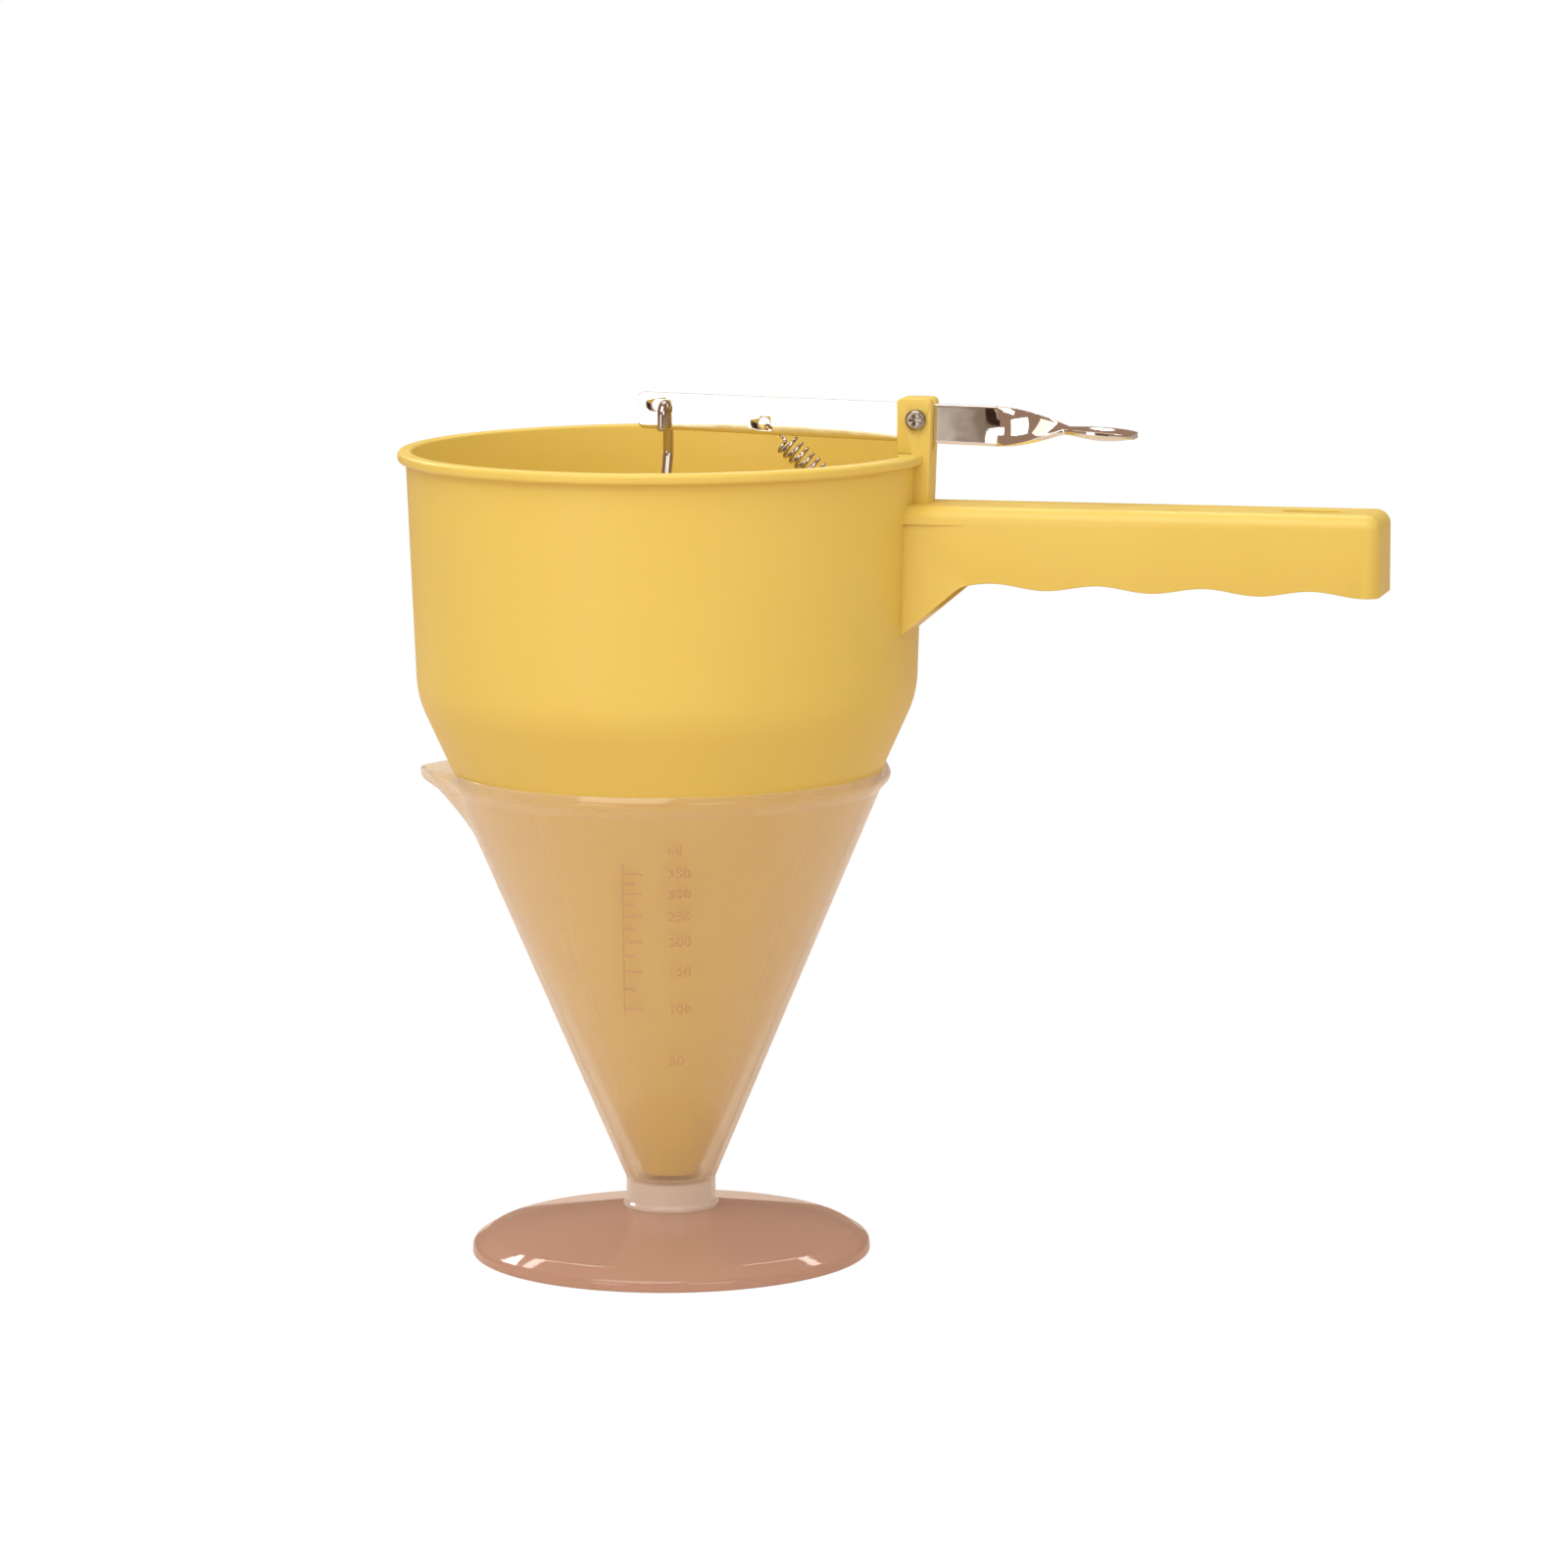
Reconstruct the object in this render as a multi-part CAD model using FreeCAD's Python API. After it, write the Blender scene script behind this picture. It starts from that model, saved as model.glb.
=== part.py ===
import FreeCAD
import Part
import math
import os

from FreeCAD import Placement, Rotation, Vector

# Batter dispenser: a cone shaped hopper with a grip and a lever worked valve,
# standing in a measuring cup on a foot. Lengths are millimetres, angles degrees.
# +Z is up, the origin is on the cup's axis at the foot's face, the grip points to +X.

# Foot
FOOT_RADIUS = 57.3
FOOT_EDGE_HEIGHT = 1.2
FOOT_CREST_RADIUS = 52.0
FOOT_CREST_HEIGHT = 5.8
FOOT_HUB_RADIUS = 14.0
FOOT_HUB_HEIGHT = 12.9
FOOT_WALL = 1.5
FOOT_EDGE_SWELL = 1.0
SPIGOT_HEIGHT = 6.0
SPIGOT_FIT = 0.05

# Measuring cup
CUP_NECK_RADIUS = 12.8
CUP_NECK_LENGTH = 8.4
CUP_COLLAR_RADIUS = 13.7
CUP_COLLAR_HEIGHT = 1.8
CUP_COLLAR_SLOPE = 0.9
CUP_WALL = 1.4
CUP_SLOPE = 22.95
CUP_BASE_RADIUS = 12.8
CUP_HEIGHT = 128.0
CUP_BEAD_DEPTH = 6.4
CUP_BEAD_PROUD = 1.7
CUP_BEAD_BULGE = 2.688
CUP_BEAD_INSET = 0.84
CUP_EDGE_ROUND = 0.5
SPOUT_REACH = 7.8
SPOUT_HALF_WIDTH = 11.5
SPOUT_DEPTH = 20.0
SPOUT_LIP = 2.8
SPOUT_ROOT_RADIUS = 3.0
SPOUT_TURN = 195.5

# Hopper
HOPPER_SLOPE = 24.4
HOPPER_WALL = 1.8
NOZZLE_RADIUS = 8.0
NOZZLE_LIP = 2.0
CONE_HEIGHT = 139.0
SHOULDER_ROUND = 28.0
BOWL_HEIGHT = 70.0
BOWL_DRAFT = 2.1
RIM_PROUD = 2.2
RIM_DEPTH = 3.2
RIM_EDGE_ROUND = 1.3
HOPPER_SEAT_GAP = 0.3

# Spring lug inside the bowl
LUG_THICKNESS = 3.0
LUG_REACH = 7.5
LUG_RISE = 6.0
LUG_TIP = 2.6
LUG_BELOW_PIVOT = 35.2
LUG_HOLE_RADIUS = 1.3
LUG_HOLE_FROM_END = 3.0
EAR_BLOCK_DEPTH = 8.0

# Grip
GRIP_BEYOND_RIM = 129.78
GRIP_WIDTH = 25.0
GRIP_DROP = 13.9
GRIP_HEIGHT = 22.8
GRIP_WALL = 2.3
GRIP_TOP_ROUND = 4.2
GRIP_END_ROUND = 4.0
GROOVE_COUNT = 4
GROOVE_BEYOND_RIM = 21.48
GROOVE_PITCH = 29.9
GROOVE_DEPTH = 1.7
GUSSET_DROP = 14.5
GUSSET_LEAD = 2.3
GUSSET_ROUND = 8.0
ROOT_OVERLAP = 1.7
GRIP_RIB = 1.6
GRIP_RIB_SETBACK = 6.0
ROOT_STEP_DEPTH = 1.0
ROOT_STEP_LENGTH = 20.0
ROOT_STEP_BELOW_TOP = 5.0
HANG_LENGTH = 17.0
HANG_WIDTH = 8.6
HANG_FROM_END = 20.1

# Pivot ears and boss
PIVOT_INSIDE_RIM = 1.82
PIVOT_ABOVE_RIM = 9.6
EAR_WIDTH = 9.5
EAR_BACK = 5.6
EAR_FRONT = 4.4
EAR_ABOVE_PIVOT = 6.0
EAR_ROUND = 1.6
BOSS_FRONT = 3.2
SLOT_CLEARANCE = 0.3
SLOT_FLOOR_ABOVE_RIM = 0.6

# Screw and nut
SCREW_RADIUS = 1.5
SCREW_FIT = 0.05
SCREW_HEAD_RADIUS = 2.95
SCREW_HEAD_HEIGHT = 1.9
SCREW_HEAD_ROUND = 0.9
RECESS_LENGTH = 3.2
RECESS_WIDTH = 0.7
RECESS_DEPTH = 1.1
SCREW_TAIL = 0.6
NUT_ACROSS_FLATS = 5.5
NUT_HEIGHT = 2.4

# Lever
LEVER_THICKNESS = 1.5
LEVER_FRONT = -7.5
LEVER_FRONT_TOP = 6.1
LEVER_FRONT_BOTTOM = -4.1
LEVER_BEHIND_PIVOT = 22.0
LEVER_REAR_TOP = 3.8
LEVER_REAR_BOTTOM = -7.4
LEVER_CORNER = 1.2
ROD_SLOT_LENGTH = 5.8
ROD_SLOT_HEIGHT = 3.8
ROD_SLOT_ABOVE_PIVOT = 2.4
ROD_SLOT_LEAD = 1.8
SPRING_HOLE_BEFORE_PIVOT = 45.0
SPRING_HOLE_BELOW_PIVOT = 2.2
SPRING_HOLE_RADIUS = 1.9
TWIST_LENGTH = 20.0
TWIST_STEPS = 6
TWIST_TURN = 90
NECK_WIDTH = 9.0
PAD_LENGTH = 19.5
PAD_STEPS = 5
PAD_SWELL_SHARE = 0.5
PAD_TIP_SHARE = 0.4
PAD_WIDTH = 15.0
PAD_TIP_WIDTH = 5.0
PAD_DISH = 1.6
PAD_DROOP = 1.2
PAD_BELOW_PIVOT = 2.6

# Return spring
SPRING_WIRE = 1.0
SPRING_RADIUS = 3.0
SPRING_HALF_TURNS = 31
HOOK_RADIUS = 3.5
HOOK_OVERLAP = 48.0
HOOK_SEAT_GAP = 0.25
HOOK_LEAN_ALLOWANCE = 0.35

# Valve
ROD_RADIUS = 1.5
ROD_HOOK_RADIUS = 3.0
ROD_LEG = 4.0
ROD_JOG_BELOW_HOOK = 22.0
ROD_JOG_LENGTH = 8.0
ROD_JOG_ROUND = 6.0
PLUG_GAP = 0.6
PLUG_HEIGHT = 9.0
PLUG_NECK_RADIUS = 3.6
PLUG_NECK_HEIGHT = 5.0
PLUG_TOP_ROUND = 1.5
PLUG_ABOVE_NOZZLE = 5.0
SEAL_GAP = 0.3
SEAL_RADIUS = 1.1
SEAL_UP = 5.0
SEAL_FIT = 0.05
ROD_FIT = 0.05
ROD_IN_PLUG = 9.0

# How near counts as the same place when an edge is looked up
TOUCH = 0.01

UP = Vector(0, 0, 1)
ACROSS = Vector(0, 1, 0)
ALONG = Vector(1, 0, 0)

# Heights and radii that follow from the sizes above
COS_CUP = math.cos(math.radians(CUP_SLOPE))
TAN_CUP = math.tan(math.radians(CUP_SLOPE))
COS_CONE = math.cos(math.radians(HOPPER_SLOPE))
TAN_CONE = math.tan(math.radians(HOPPER_SLOPE))
TAN_BOWL = math.tan(math.radians(BOWL_DRAFT))

CUP_BASE = FOOT_HUB_HEIGHT
CUP_FLOOR = CUP_BASE + CUP_NECK_LENGTH
CUP_TOP = CUP_BASE + CUP_HEIGHT
CUP_SEAT_Z = CUP_TOP - CUP_EDGE_ROUND
CUP_MOUTH_RADIUS = CUP_BASE_RADIUS + (CUP_SEAT_Z - CUP_FLOOR) * TAN_CUP - CUP_WALL / COS_CUP

SEAT_RISE = (CUP_MOUTH_RADIUS - NOZZLE_RADIUS - HOPPER_SEAT_GAP / COS_CONE) / TAN_CONE
NOZZLE_Z = CUP_SEAT_Z - SEAT_RISE
SHOULDER_Z = NOZZLE_Z + CONE_HEIGHT
SHOULDER_RADIUS = NOZZLE_RADIUS + CONE_HEIGHT * TAN_CONE
RIM_Z = SHOULDER_Z + BOWL_HEIGHT
WALL_TOP_RADIUS = SHOULDER_RADIUS + BOWL_HEIGHT * TAN_BOWL
RIM_RADIUS = WALL_TOP_RADIUS + RIM_PROUD

PIVOT_X = RIM_RADIUS - PIVOT_INSIDE_RIM
PIVOT_Z = RIM_Z + PIVOT_ABOVE_RIM
PIVOT = Vector(PIVOT_X, 0, PIVOT_Z)
GRIP_END = RIM_RADIUS + GRIP_BEYOND_RIM
GROOVE_FIRST = RIM_RADIUS + GROOVE_BEYOND_RIM
GRIP_TOP = RIM_Z - GRIP_DROP
GRIP_BOTTOM = GRIP_TOP - GRIP_HEIGHT
SLOT_HALF_WIDTH = LEVER_THICKNESS / 2 + SLOT_CLEARANCE
ROD_SLOT_Z = PIVOT_Z + ROD_SLOT_ABOVE_PIVOT
LEVER_REAR = PIVOT_X + LEVER_BEHIND_PIVOT
SPRING_HOLE = Vector(PIVOT_X - SPRING_HOLE_BEFORE_PIVOT, 0, PIVOT_Z - SPRING_HOLE_BELOW_PIVOT)
PLUG_BASE = NOZZLE_Z + PLUG_ABOVE_NOZZLE
SEAL_Z = PLUG_BASE + SEAL_UP
SEAL_OUTSIDE = (HOPPER_WALL + SEAL_RADIUS + SEAL_GAP) / COS_CONE
SEAL_CENTRE = NOZZLE_RADIUS + (SEAL_Z - NOZZLE_Z) * TAN_CONE - SEAL_OUTSIDE


def bowl_radius(z):
    """Outer radius of the bowl's wall at a height."""
    return SHOULDER_RADIUS + (z - SHOULDER_Z) * TAN_BOWL


LUG_HOLE_Z = PIVOT_Z - LUG_BELOW_PIVOT
LUG_INNER = bowl_radius(LUG_HOLE_Z) - HOPPER_WALL - LUG_REACH
LUG_HOLE = Vector(LUG_INNER + LUG_HOLE_FROM_END, 0, LUG_HOLE_Z)


def line(a, b):
    """Straight edge between two points."""
    return Part.LineSegment(a, b).toShape()


def arc(a, middle, b):
    """Round edge through three points."""
    return Part.Arc(a, middle, b).toShape()


def at(x, z):
    """Point in the upright plane through the grip."""
    return Vector(x, 0, z)


def straight(*pairs):
    """Straight edges in the upright plane through (x, z) pairs, one after another."""
    return [line(at(*a), at(*b)) for a, b in zip(pairs, pairs[1:])]


def bent(a, middle, b):
    """Round edge in the upright plane through three (x, z) pairs."""
    return [arc(at(*a), at(*middle), at(*b))]


def polygon(pairs):
    """Closed wire in the upright plane through (x, z) pairs."""
    points = [at(x, z) for x, z in pairs]
    return Part.makePolygon(points + [points[0]])


def turned(wire):
    """Full turn of an outline about the upright axis."""
    return Part.Face(wire).revolve(Vector(), UP, 360)


def slab(wire, half_width):
    """Outline in the upright plane pushed out to both sides."""
    face = Part.Face(wire)
    face.translate(ACROSS * -half_width)
    return face.extrude(ACROSS * 2 * half_width)


def upright_rod(radius, low, high, x=0.0):
    """Round bar along Z."""
    return Part.makeCylinder(radius, high - low, Vector(x, 0, low), UP)


def cross_rod(radius, low, high, x, z):
    """Round bar along Y."""
    return Part.makeCylinder(radius, high - low, Vector(x, low, z), ACROSS)


def disc(radius, centre):
    """Horizontal round wire."""
    return Part.Wire(Part.makeCircle(radius, centre, UP))


def circles_at(shape, radius, z):
    """Full circles about the upright axis with one radius, at one height."""
    found = []
    for edge in shape.Edges:
        if isinstance(edge.Curve, Part.Circle):
            same_radius = abs(edge.Curve.Radius - radius) < TOUCH
            if same_radius and abs(edge.Curve.Center.z - z) < TOUCH:
                found.append(edge)
    return found


def cross_edges_at(shape, x, z):
    """Straight edges along Y through one point of the upright plane."""
    found = []
    for edge in shape.Edges:
        box = edge.BoundBox
        here = abs(box.Center.x - x) < TOUCH and abs(box.Center.z - z) < TOUCH
        if here and box.YLength > box.XLength + box.ZLength + TOUCH:
            found.append(edge)
    return found


def edges_beyond(shape, x):
    """Edges that lie in the plane of one x or past it."""
    return [edge for edge in shape.Edges if edge.BoundBox.XMin > x - TOUCH]


def edges_above(shape, z):
    """Edges that lie at one height or above it."""
    return [edge for edge in shape.Edges if edge.BoundBox.ZMin > z - TOUCH]


def pipe(edges, radius):
    """Round wire of one radius along straight and round edges, skinned edge by edge."""
    start = edges[0].valueAt(edges[0].FirstParameter)
    along = edges[0].tangentAt(edges[0].FirstParameter)
    ring = Part.makeCircle(radius, start, along)
    faces = [Part.Face(Part.Wire(ring))]
    for edge in edges:
        near = ring
        ring = near.copy()
        if isinstance(edge.Curve, Part.Circle):
            centre, axis = edge.Curve.Center, edge.Curve.Axis
            turn = math.degrees(edge.Length / edge.Curve.Radius)
            faces += near.revolve(centre, axis, turn).Faces
            ring.rotate(centre, axis, turn)
        else:
            run = edge.valueAt(edge.LastParameter) - edge.valueAt(edge.FirstParameter)
            faces += near.extrude(run).Faces
            ring.translate(run)
    faces.append(Part.Face(Part.Wire(ring)))
    shell = Part.makeShell(faces)
    shell.sewShape()
    return Part.makeSolid(shell)


def arc_middle(a, direction, b):
    """Middle of the arc from a to b that leaves a along a unit direction."""
    chord = b - a
    along = chord * (1 / chord.Length)
    side = direction - along * direction.dot(along)
    half_turn = math.atan2(side.Length, direction.dot(along)) / 2
    return (a + b) * 0.5 + side * (chord.Length / 2 * math.tan(half_turn) / side.Length)


def biarc(a, from_a, b, into_b):
    """Two arcs from a to b with unit directions at both ends."""
    v = b - a
    t = from_a + into_b
    spread = 2 * (1 - from_a.dot(into_b))
    reach = (math.sqrt(v.dot(t) ** 2 + spread * v.dot(v)) - v.dot(t)) / spread
    joint = (a + b + (from_a - into_b) * reach) * 0.5
    first = arc(a, arc_middle(a, from_a, joint), joint)
    second = arc(joint, arc_middle(b, into_b * -1, joint), b)
    return [first, second]


def run_backwards(edges):
    """The same arcs from the far end to the near one."""
    turned_round = []
    for edge in reversed(edges):
        low, high = edge.FirstParameter, edge.LastParameter
        middle = edge.valueAt((low + high) / 2)
        turned_round.append(arc(edge.valueAt(high), middle, edge.valueAt(low)))
    return turned_round


def rounded_run(points, radius):
    """Straight runs through points, with an arc of one radius at each inner point."""
    edges = []
    start = points[0]
    for before, corner, after in zip(points, points[1:], points[2:]):
        inward = (before - corner).normalize()
        onward = (after - corner).normalize()
        half = inward.getAngle(onward) / 2
        cut = radius / math.tan(half)
        a = corner + inward * cut
        b = corner + onward * cut
        edges.append(line(start, a))
        edges.append(arc(a, arc_middle(a, inward * -1, b), b))
        start = b
    edges.append(line(start, points[-1]))
    return edges


def cone_radius(z):
    """Outer radius of the hopper's cone at a height."""
    return NOZZLE_RADIUS + (z - NOZZLE_Z) * TAN_CONE


def cone_inner(z):
    """Inner radius of the hopper's cone at a height."""
    return cone_radius(z) - HOPPER_WALL / COS_CONE


def cup_radius(z):
    """Outer radius of the cup's cone at a height."""
    return CUP_BASE_RADIUS + (z - CUP_FLOOR) * TAN_CUP


def make_cup_foot():
    """Thin domed disc with a turned down edge and a spigot for the cup's neck."""
    spigot_radius = CUP_NECK_RADIUS - CUP_WALL - SPIGOT_FIT
    spigot_top = FOOT_HUB_HEIGHT + SPIGOT_HEIGHT
    wall = FOOT_WALL
    swell_x = (FOOT_RADIUS + FOOT_CREST_RADIUS) / 2 + FOOT_EDGE_SWELL
    swell_z = (FOOT_EDGE_HEIGHT + FOOT_CREST_HEIGHT) / 2 + FOOT_EDGE_SWELL
    rim_top = (FOOT_RADIUS, FOOT_EDGE_HEIGHT)
    rim_inside = (FOOT_RADIUS - wall, 0)
    crest = (FOOT_CREST_RADIUS, FOOT_CREST_HEIGHT)
    crest_inside = (FOOT_CREST_RADIUS - wall / 2, FOOT_CREST_HEIGHT - wall)
    edges = straight(rim_inside, (FOOT_RADIUS, 0), rim_top)
    edges += bent(rim_top, (swell_x, swell_z), crest)
    edges += straight(
        crest,
        (FOOT_HUB_RADIUS, FOOT_HUB_HEIGHT),
        (spigot_radius, FOOT_HUB_HEIGHT),
        (spigot_radius, spigot_top),
        (0, spigot_top),
        (0, spigot_top - wall),
        (spigot_radius - wall, spigot_top - wall),
        (spigot_radius - wall, FOOT_HUB_HEIGHT - wall),
        crest_inside,
    )
    edges += bent(crest_inside, (swell_x - wall, swell_z - wall), rim_inside)
    return turned(Part.Wire(edges))


def spout_cone(inset):
    """Leaning cone that swells from the cup's wall into the pouring lip."""
    low_z = CUP_TOP - SPOUT_DEPTH
    lip_z = CUP_TOP - SPOUT_LIP
    lip_x = cup_radius(CUP_TOP) + SPOUT_REACH - SPOUT_HALF_WIDTH
    low_radius = SPOUT_ROOT_RADIUS
    low = disc(low_radius - inset, Vector(cup_radius(low_z) - low_radius, 0, low_z))
    lip = disc(SPOUT_HALF_WIDTH - inset, Vector(lip_x, 0, lip_z))
    swell = Part.makeLoft([low, lip], True, True)
    band = upright_rod(SPOUT_HALF_WIDTH - inset, lip_z, CUP_TOP, lip_x)
    return swell.fuse(band)


def make_measuring_cup():
    """Thin cone with a rolled rim, a pouring lip and a hollow neck."""
    bead_z = CUP_TOP - CUP_BEAD_DEPTH
    bulge_z = CUP_TOP - CUP_BEAD_BULGE
    bead_low = (cup_radius(bead_z), bead_z)
    bead_top = (cup_radius(CUP_TOP) - CUP_BEAD_INSET, CUP_TOP)
    mouth = CUP_MOUTH_RADIUS
    floor_radius = cup_radius(CUP_FLOOR) - CUP_WALL / COS_CUP
    neck_inner = CUP_NECK_RADIUS - CUP_WALL
    collar_top = CUP_BASE + CUP_COLLAR_HEIGHT
    edges = straight(
        (neck_inner, CUP_BASE),
        (CUP_COLLAR_RADIUS, CUP_BASE),
        (CUP_COLLAR_RADIUS, collar_top - CUP_COLLAR_SLOPE),
        (CUP_NECK_RADIUS, collar_top),
        (CUP_BASE_RADIUS, CUP_FLOOR),
        bead_low,
    )
    edges += bent(bead_low, (cup_radius(bulge_z) + CUP_BEAD_PROUD, bulge_z), bead_top)
    edges += straight(
        bead_top,
        (mouth + CUP_EDGE_ROUND, CUP_TOP),
        (mouth, CUP_SEAT_Z),
        (floor_radius, CUP_FLOOR),
        (0, CUP_FLOOR),
        (0, CUP_FLOOR - CUP_WALL),
        (neck_inner, CUP_FLOOR - CUP_WALL),
        (neck_inner, CUP_BASE),
    )
    cup = turned(Part.Wire(edges))
    inside = turned(polygon([
        (0, CUP_FLOOR),
        (floor_radius, CUP_FLOOR),
        (mouth, CUP_SEAT_Z),
        (mouth + CUP_EDGE_ROUND, CUP_TOP),
        (0, CUP_TOP),
    ]))
    spout = spout_cone(0).cut(inside)
    cup = cup.fuse(spout).cut(spout_cone(CUP_WALL))
    cup.rotate(Vector(), UP, SPOUT_TURN)
    return cup.removeSplitter()


def make_bowl():
    """Turned shell of the hopper: nozzle, cone, shoulder, bowl and rim."""
    lip_z = NOZZLE_Z + NOZZLE_LIP
    bore = cone_inner(lip_z)
    inner_shoulder = SHOULDER_RADIUS - HOPPER_WALL
    inner_shoulder_z = SHOULDER_Z + (inner_shoulder - cone_inner(SHOULDER_Z)) / TAN_CONE
    rim_low = RIM_Z - RIM_DEPTH
    shell = turned(polygon([
        (bore, NOZZLE_Z),
        (NOZZLE_RADIUS, NOZZLE_Z),
        (SHOULDER_RADIUS, SHOULDER_Z),
        (bowl_radius(rim_low), rim_low),
        (RIM_RADIUS, rim_low),
        (RIM_RADIUS, RIM_Z),
        (WALL_TOP_RADIUS - HOPPER_WALL, RIM_Z),
        (inner_shoulder, inner_shoulder_z),
        (bore, lip_z),
    ]))
    outer = circles_at(shell, SHOULDER_RADIUS, SHOULDER_Z)
    inner = circles_at(shell, inner_shoulder, inner_shoulder_z)
    shell = shell.makeFillet(SHOULDER_ROUND, outer + inner)
    rim = circles_at(shell, RIM_RADIUS, RIM_Z) + circles_at(shell, RIM_RADIUS, rim_low)
    return shell.makeFillet(RIM_EDGE_ROUND, rim)


def make_hopper():
    """Bowl with the block that carries the ears and the lug for the spring."""
    shell = make_bowl()
    wall = WALL_TOP_RADIUS - HOPPER_WALL / 2
    block = slab(polygon([
        (PIVOT_X - EAR_BACK, RIM_Z),
        (wall, RIM_Z),
        (wall, RIM_Z - EAR_BLOCK_DEPTH),
        (PIVOT_X - EAR_BACK, RIM_Z - EAR_BLOCK_DEPTH / 2),
    ]), EAR_WIDTH / 2)
    lug_wall = bowl_radius(LUG_HOLE_Z) - HOPPER_WALL / 2
    lug = slab(polygon([
        (LUG_INNER, LUG_HOLE_Z + LUG_TIP),
        (lug_wall, LUG_HOLE_Z + LUG_RISE),
        (lug_wall, LUG_HOLE_Z - LUG_RISE),
        (LUG_INNER, LUG_HOLE_Z - LUG_TIP),
    ]), LUG_THICKNESS / 2)
    hole = cross_rod(LUG_HOLE_RADIUS, -LUG_THICKNESS, LUG_THICKNESS, LUG_HOLE.x, LUG_HOLE_Z)
    return shell.fuse([block, lug.cut(hole)]).removeSplitter()


def grip_outline():
    """Side outline of the grip: flat top, finger grooves and gusset."""
    quarter = GROOVE_PITCH / 4
    middle_z = GRIP_BOTTOM + GROOVE_DEPTH / 2
    gusset_z = GRIP_BOTTOM - GUSSET_DROP
    gusset_x = GROOVE_FIRST - quarter - GUSSET_LEAD
    low_root = bowl_radius(gusset_z) - ROOT_OVERLAP
    top_root = bowl_radius(GRIP_TOP) - ROOT_OVERLAP
    x = GROOVE_FIRST + (GROOVE_COUNT - 0.5) * GROOVE_PITCH
    edges = straight(
        (low_root, gusset_z),
        (top_root, GRIP_TOP),
        (GRIP_END, GRIP_TOP),
        (GRIP_END, GRIP_BOTTOM),
        (x, GRIP_BOTTOM),
    )
    lead_z = GRIP_BOTTOM + GROOVE_DEPTH / 8
    edges += bent((x, GRIP_BOTTOM), (x - quarter / 2, lead_z), (x - quarter, middle_z))
    x -= quarter
    for index in range(2 * GROOVE_COUNT - 1):
        crest_z = GRIP_BOTTOM if index % 2 else GRIP_BOTTOM + GROOVE_DEPTH
        edges += bent((x, middle_z), (x - quarter, crest_z), (x - 2 * quarter, middle_z))
        x -= 2 * quarter
    edges += straight((x, middle_z), (gusset_x, GRIP_BOTTOM), (low_root, gusset_z))
    return Part.Wire(edges), at(gusset_x, GRIP_BOTTOM)


def make_grip():
    """Grip as an upside down channel with ribs across and a hole to hang it by."""
    outline, gusset = grip_outline()
    half = GRIP_WIDTH / 2
    grip = slab(outline, half)
    grip = grip.makeFillet(GUSSET_ROUND, cross_edges_at(grip, gusset.x, gusset.z))
    ends = [e for e in edges_beyond(grip, GRIP_END) if e.BoundBox.YLength < TOUCH]
    grip = grip.makeFillet(GRIP_END_ROUND, ends)
    tops = [e for e in edges_above(grip, GRIP_TOP) if e.BoundBox.XMax > bowl_radius(GRIP_TOP)]
    grip = grip.makeFillet(GRIP_TOP_ROUND, tops)
    inside = half - GRIP_WALL
    root = PIVOT_X + BOSS_FRONT
    channel = Part.makeBox(
        GRIP_END - GRIP_WALL - root,
        2 * inside,
        GRIP_HEIGHT + GUSSET_DROP,
        Vector(root, -inside, GRIP_TOP - GRIP_WALL - GRIP_HEIGHT - GUSSET_DROP),
    )
    for index in range(GROOVE_COUNT - 1):
        x = GROOVE_FIRST + (index + 0.5) * GROOVE_PITCH
        rib = Part.makeBox(
            GRIP_RIB,
            GRIP_WIDTH,
            GRIP_HEIGHT,
            Vector(x - GRIP_RIB / 2, -half, GRIP_BOTTOM + GRIP_RIB_SETBACK),
        )
        channel = channel.cut(rib)
    grip = grip.cut(channel)
    hang_x = GRIP_END - HANG_FROM_END
    reach = (HANG_LENGTH - HANG_WIDTH) / 2
    low = GRIP_TOP - 2 * GRIP_WALL
    high = GRIP_TOP + GRIP_WALL
    eye = Part.makeBox(2 * reach, HANG_WIDTH, high - low, Vector(hang_x - reach, -HANG_WIDTH / 2, low))
    eye = eye.fuse([
        upright_rod(HANG_WIDTH / 2, low, high, hang_x - reach),
        upright_rod(HANG_WIDTH / 2, low, high, hang_x + reach),
    ])
    return grip.cut(eye)


def root_step(side):
    """Shallow wedge that sets one side of the grip back under its top band, near the bowl."""
    half = GRIP_WIDTH / 2 * side
    start = SHOULDER_RADIUS
    low = GRIP_BOTTOM - GUSSET_DROP - GRIP_WALL
    points = [
        Vector(start, half, low),
        Vector(start + ROOT_STEP_LENGTH, half, low),
        Vector(start, half - ROOT_STEP_DEPTH * side, low),
    ]
    face = Part.Face(Part.makePolygon(points + [points[0]]))
    return face.extrude(UP * (GRIP_TOP - ROOT_STEP_BELOW_TOP - low))


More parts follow.
